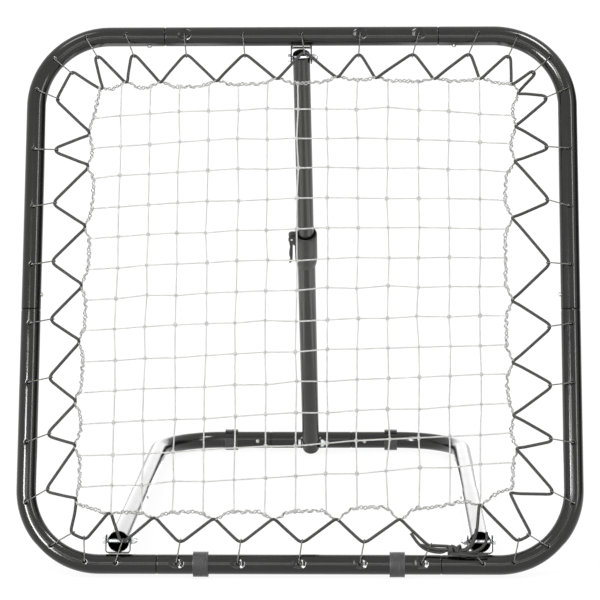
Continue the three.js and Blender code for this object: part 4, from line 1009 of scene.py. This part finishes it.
def borderLoop(strand):
    # walks once round the border, tight at each turn of the cord and loose between them
    def uneven(share, over, shift):
        return share * sin(travelled / over + shift * strand)

    loop, travelled = [], 0
    pulled = [Vector(spot) for _, spot in turnAfter.values()]
    for side in ("top", "right", "bottom", "left"):
        ends = [borderLine[side][0][0], borderLine[side][-1][0]]
        start, end = ends if side in ("top", "left") else ends[::-1]
        steps = round(abs(end - start) / rope["step"])
        out = outwards[side]
        for i in range(steps):
            x, z = borderPoint(side, start + (end - start) * i / steps)
            phase = 2 * pi * (travelled / rope["pitch"] + strand / rope["strands"])
            phase += uneven(*rope["unevenTurn"])
            near = min((Vector((x, z)) - spot).length for spot in pulled)
            loose = rope["sway"] * (1 - rope["tight"] * exp(-(near / rope["tightOver"]) ** 2))
            loose *= 1 + sum(uneven(*row) for row in rope["unevenWidth"])
            sway, forward = loose * sin(phase), rope["flat"] * loose * cos(phase)
            loop.append((x + out[0] * sway, netDepth + forward, z + out[1] * sway))
            travelled += abs(end - start) / steps
    return loop + [loop[0]]


piece = wirePiece("net_border_rope_doubled", [borderLoop(strand) for strand in range(rope["strands"])],
                  rope["radius"], netLook["twineSides"], shadedKnotTwine)
mount(piece, "frame", "net_twine")
print("net and hooks ready")

# Elastic cord: one length through every hook and round the net's edge, tied to itself at its end
cordLook = {"halfTurn": 2.5, "hookTurn": 4.2, "bend": 9, "bendSteps": 7, "sides": 12, "pointGap": 12,
            "tieSlant": (-0.85, 0, -0.52)}
knot = {"y": -17.5, "z": 24, "from": 258, "to": 290, "steps": 7, "advance": 0.8, "start": 3,
        "unevenWidth": (0.22, 2.3), "unevenStep": (2, 1.4)}
tail = ((196, -10, 54), (206, -10, 39), (218, -10, 27), (233, -12, 21.5), (250, -14, 19.5))
roundLeg = (311, -18, 56)
# the tied bundle's loose strands: beside the tail, round the leg's end twice, and out under it
looseStrands = [
    [(214, -12, 33.5), (229, -16, 27), (247, -19, 24.5), (268, -20, 25)],
    [(310, -20, 60), (307, -28, 44), (302, -28, 31), (293, -24, 23), (276, -19, 21)],
    [(328, -22, 54), (328, -29, 40), (320, -29, 26), (301, -23, 18), (274, -19, 19)],
    [(262, -20, 18), (282, -23, 15.5), (304, -22, 13.5), (330, -20, 16)],
    [(262, -14, 29), (270, -22, 31), (278, -20, 22), (286, -22, 16), (292, -15, 22)],
]


def turnPoints(following, tip):
    # the cord passes in front of the border, round it and back behind it
    crossing = lacing["netThickness"] / 2 + layout["cordDiameter"] / 2 + lacing["gap"]
    rise = lacing["edgeInset"] + lacing["borderWidth"] / 2 + lacing["borderSlack"]
    side, (x, z) = turnAfter[following]
    out = Vector((outwards[side][0], 0, outwards[side][1]))
    spot, forward = Vector((x, netDepth, z)), Vector((0, crossing, 0))
    along = Vector((-out.z, 0, out.x)) * cordLook["halfTurn"]

    def towards(goal, depthThere):
        away = Vector((goal[0] - spot.x, 0, goal[1] - spot.z))
        share = min(rise / abs(away.dot(out)), lacing["mostRise"])
        return Vector((spot.x + away.x * share, depthThere, spot.z + away.z * share))

    return [towards(tip, netDepth - crossing), spot - along - forward, spot + along + forward,
            towards(hooks[following]["tip"], netDepth + crossing)]


def cordRoute():
    route = [*tail, (knot["from"], knot["y"], knot["z"]), (knot["to"], knot["y"], knot["z"])]
    tie = lacing["tieHook"]
    order = list(range(tie, -1, -1)) + list(range(len(hooks) - 1, lacing["nextHook"] - 1, -1))
    for index, following in zip(order, order[1:] + [None]):
        hook = hooks[index]
        tip = Vector((hook["tip"][0], hook["depth"], hook["tip"][1]))
        slant = Vector(cordLook["tieSlant"] if index == tie else (-hook["inward"][1], 0, hook["inward"][0]))
        route += [tip + slant * cordLook["hookTurn"], tip - slant * cordLook["hookTurn"]]
        if index == tie:
            route.append(roundLeg)
        if following in turnAfter:
            route += turnPoints(following, hook["tip"])
    radius = layout["cordDiameter"] + 1
    for step in range(lacing["knotTurns"] * knot["steps"] + 1):
        turn = step / knot["steps"] * 2 * pi
        # the turns lie unevenly, as a hand-tied knot's do
        width, drift = [share * sin(rate * turn)
                        for share, rate in (knot["unevenWidth"], knot["unevenStep"])]
        advance = knot["start"] + knot["advance"] * step / knot["steps"] * radius + drift
        route.append((knot["from"] + advance, knot["y"] - radius * sin(turn),
                      knot["z"] + (1 + width) * radius * cos(turn)))
    return route


def resampled(points, gap):
    # long straight runs get points too, so that the weave keeps its pitch
    line = [points[0]]
    for a, b in zip(points, points[1:]):
        pieces = max(1, round((b - a).length / gap))
        line += [a + (b - a) * (i + 1) / pieces for i in range(pieces)]
    return line


strands = [resampled(smoothed(strand, cordLook["bend"], cordLook["bendSteps"]), cordLook["pointGap"])
           for strand in [cordRoute()] + looseStrands]
piece = wirePiece("elastic_cord_braided", strands, layout["cordDiameter"] / 2, cordLook["sides"],
                  elasticSleeve)
mount(piece, "frame", "elastic_cover", "elastic_cord")
print("elastic cord ready")

# Floor and backdrop
studio = {"floorHalf": 30, "floorDrop": 0.0005, "paper": "#f4f4f4", "white": 1.0, "glow": 1.06,
          "near": 0.86, "fadeFrom": 0.8, "fadeTo": 1.6, "world": 0.6, "darkSide": (0.956, 0.292),
          "darkEdge": (0.8, 0.92), "darkLevel": 0.12}
whiteLight = (1, 1, 1, 1)


def seenBare(tree):
    # 1 for what the camera, a gloss reflection or a clear piece shows, 0 for what lights the object
    path = addNode(tree, "ShaderNodeLightPath", out=None)
    seen = path["Is Camera Ray"]
    for ray in ("Is Glossy Ray", "Is Transmission Ray"):
        seen = addNode(tree, "ShaderNodeMath", {0: seen, 1: path[ray]}, operation="MAXIMUM")
    return seen


def studioFloor():
    size, down = studio["floorHalf"], -studio["floorDrop"]
    mesh = bpy.data.meshes.new("studio_floor")
    corners = [(-size, -size, down), (size, -size, down), (size, size, down), (-size, size, down)]
    mesh.from_pydata(corners, [], [(0, 1, 2, 3)])
    material = bpy.data.materials.new("matt_white_paper_floor")
    tree = bareTree(material)
    # the paper keeps a faint share of the shadow near the object, and fades to the white backdrop round it
    paper = addNode(tree, "ShaderNodeBsdfDiffuse", {"Color": linear(studio["paper"])})
    glow = addNode(tree, "ShaderNodeEmission", {"Color": whiteLight, "Strength": studio["glow"]})
    spot = addNode(tree, "ShaderNodeTexCoord", out="Object")
    away = addNode(tree, "ShaderNodeVectorMath", {0: spot}, out="Value", operation="LENGTH")
    fade = addNode(tree, "ShaderNodeMapRange", {
        "Value": away, "From Min": studio["fadeFrom"], "From Max": studio["fadeTo"],
        "To Min": studio["near"]})
    share = addNode(tree, "ShaderNodeMath", {0: seenBare(tree), 1: fade}, operation="MULTIPLY")
    mixed = addNode(tree, "ShaderNodeMixShader", {0: share, 1: paper, 2: glow})
    addNode(tree, "ShaderNodeOutputMaterial", {"Surface": mixed})
    mesh.materials.append(material)
    linked("studio_floor", mesh)


def studioWorld():
    world = bpy.data.worlds.new("white_studio")
    bpy.context.scene.world = world
    tree = bareTree(world)
    # a gloss surface sees one side of the studio dark, where no light or paper stands
    heading = addNode(tree, "ShaderNodeTexCoord", out="Generated")
    side = addNode(tree, "ShaderNodeVectorMath", {0: heading, 1: (*studio["darkSide"], 0)}, out="Value",
                   operation="DOT_PRODUCT")
    gloss = addNode(tree, "ShaderNodeLightPath", out="Is Glossy Ray")
    low, high = studio["darkEdge"]
    edge = addNode(tree, "ShaderNodeMapRange", {"Value": side, "From Min": low, "From Max": high})
    dark = addNode(tree, "ShaderNodeMath", {0: edge, 1: gloss}, operation="MULTIPLY")
    bright = addNode(tree, "ShaderNodeMapRange", {
        "Value": seenBare(tree), "To Min": studio["world"], "To Max": studio["white"]})
    strength = addNode(tree, "ShaderNodeMix", {0: dark, 2: bright, 3: studio["darkLevel"]})
    light = addNode(tree, "ShaderNodeBackground", {"Color": whiteLight, "Strength": strength})
    addNode(tree, "ShaderNodeOutputWorld", {"Surface": light})


# Lamps: place and target in metres, width and height, and how bright the panel looks beside white
lamps = {
    "key_softbox": ((-1.85, -2.0, 3.5), (0, 0, 0.4), (0.9, 0.9), 20),
    "fill_softbox": ((2.2, -1.6, 3.3), (0, 0, 0.4), (0.8, 0.8), 10),
    "back_softbox": ((0, 3.4, 3.2), (0, 0, 0.4), (2.6, 1.0), 5),
    "side_glint": ((4.7, -4.2, 3.3), (0, 0, 0.6), (0.9, 3.6), 8),
    "window_glint": ((-2.5, -7.0, 3.9), (0, 0, 0.2), (1.0, 1.1), 14),
    "upper_front_glint": ((-0.07, -3.0, 1.4), (0, 0, 0.1), (1.3, 0.3), 3.5),
    "lower_front_glint": ((0.3, -2.8, 0.55), (0, 0, 0.9), (2.0, 0.2), 3.5),
    "left_overhead_glint": ((-1.2, -0.8, 3.1), (-0.1, -0.2, 0.8), (0.6, 0.6), 7),
    "right_overhead_glint": ((1.25, -0.8, 3.1), (0.1, -0.2, 0.8), (0.7, 0.7), 24),
    "low_left_glint": ((-1.55, -2.8, 0.9), (0, 0, 0.5), (0.5, 1.6), 34),
    "left_leg_glow": ((-0.36, -0.05, 0.004), (-0.36, -0.05, 1), (0.32, 0.85), 1.6),
    "right_leg_glow": ((0.36, -0.05, 0.004), (0.36, -0.05, 1), (0.32, 0.85), 1.6),
    "rear_glow": ((0, 5.5, 1.25), (0, 0, 0.3), (5.0, 2.2), 1.7),
}


def hangLamp(name, place, target, size, bright):
    data = bpy.data.lights.new(name, "AREA")
    data.shape = "RECTANGLE"
    data.size, data.size_y = size
    data.energy = bright * pi * data.size * data.size_y
    lamp = linked(name, data)
    lamp.location = place
    lamp.rotation_euler = (Vector(target) - Vector(place)).to_track_quat("-Z", "Y").to_euler()
    # every lamp is out of sight: a softbox lights the colours, and a glint or a glow only shows in gloss
    lamp.visible_camera = False
    if name.endswith("softbox"):
        lamp.visible_glossy = False
    else:
        lamp.visible_diffuse = False


studioFloor()
studioWorld()
for name, lamp in lamps.items():
    hangLamp(name, *lamp)
bpy.context.scene.view_settings.view_transform = "Standard"
print("studio ready")
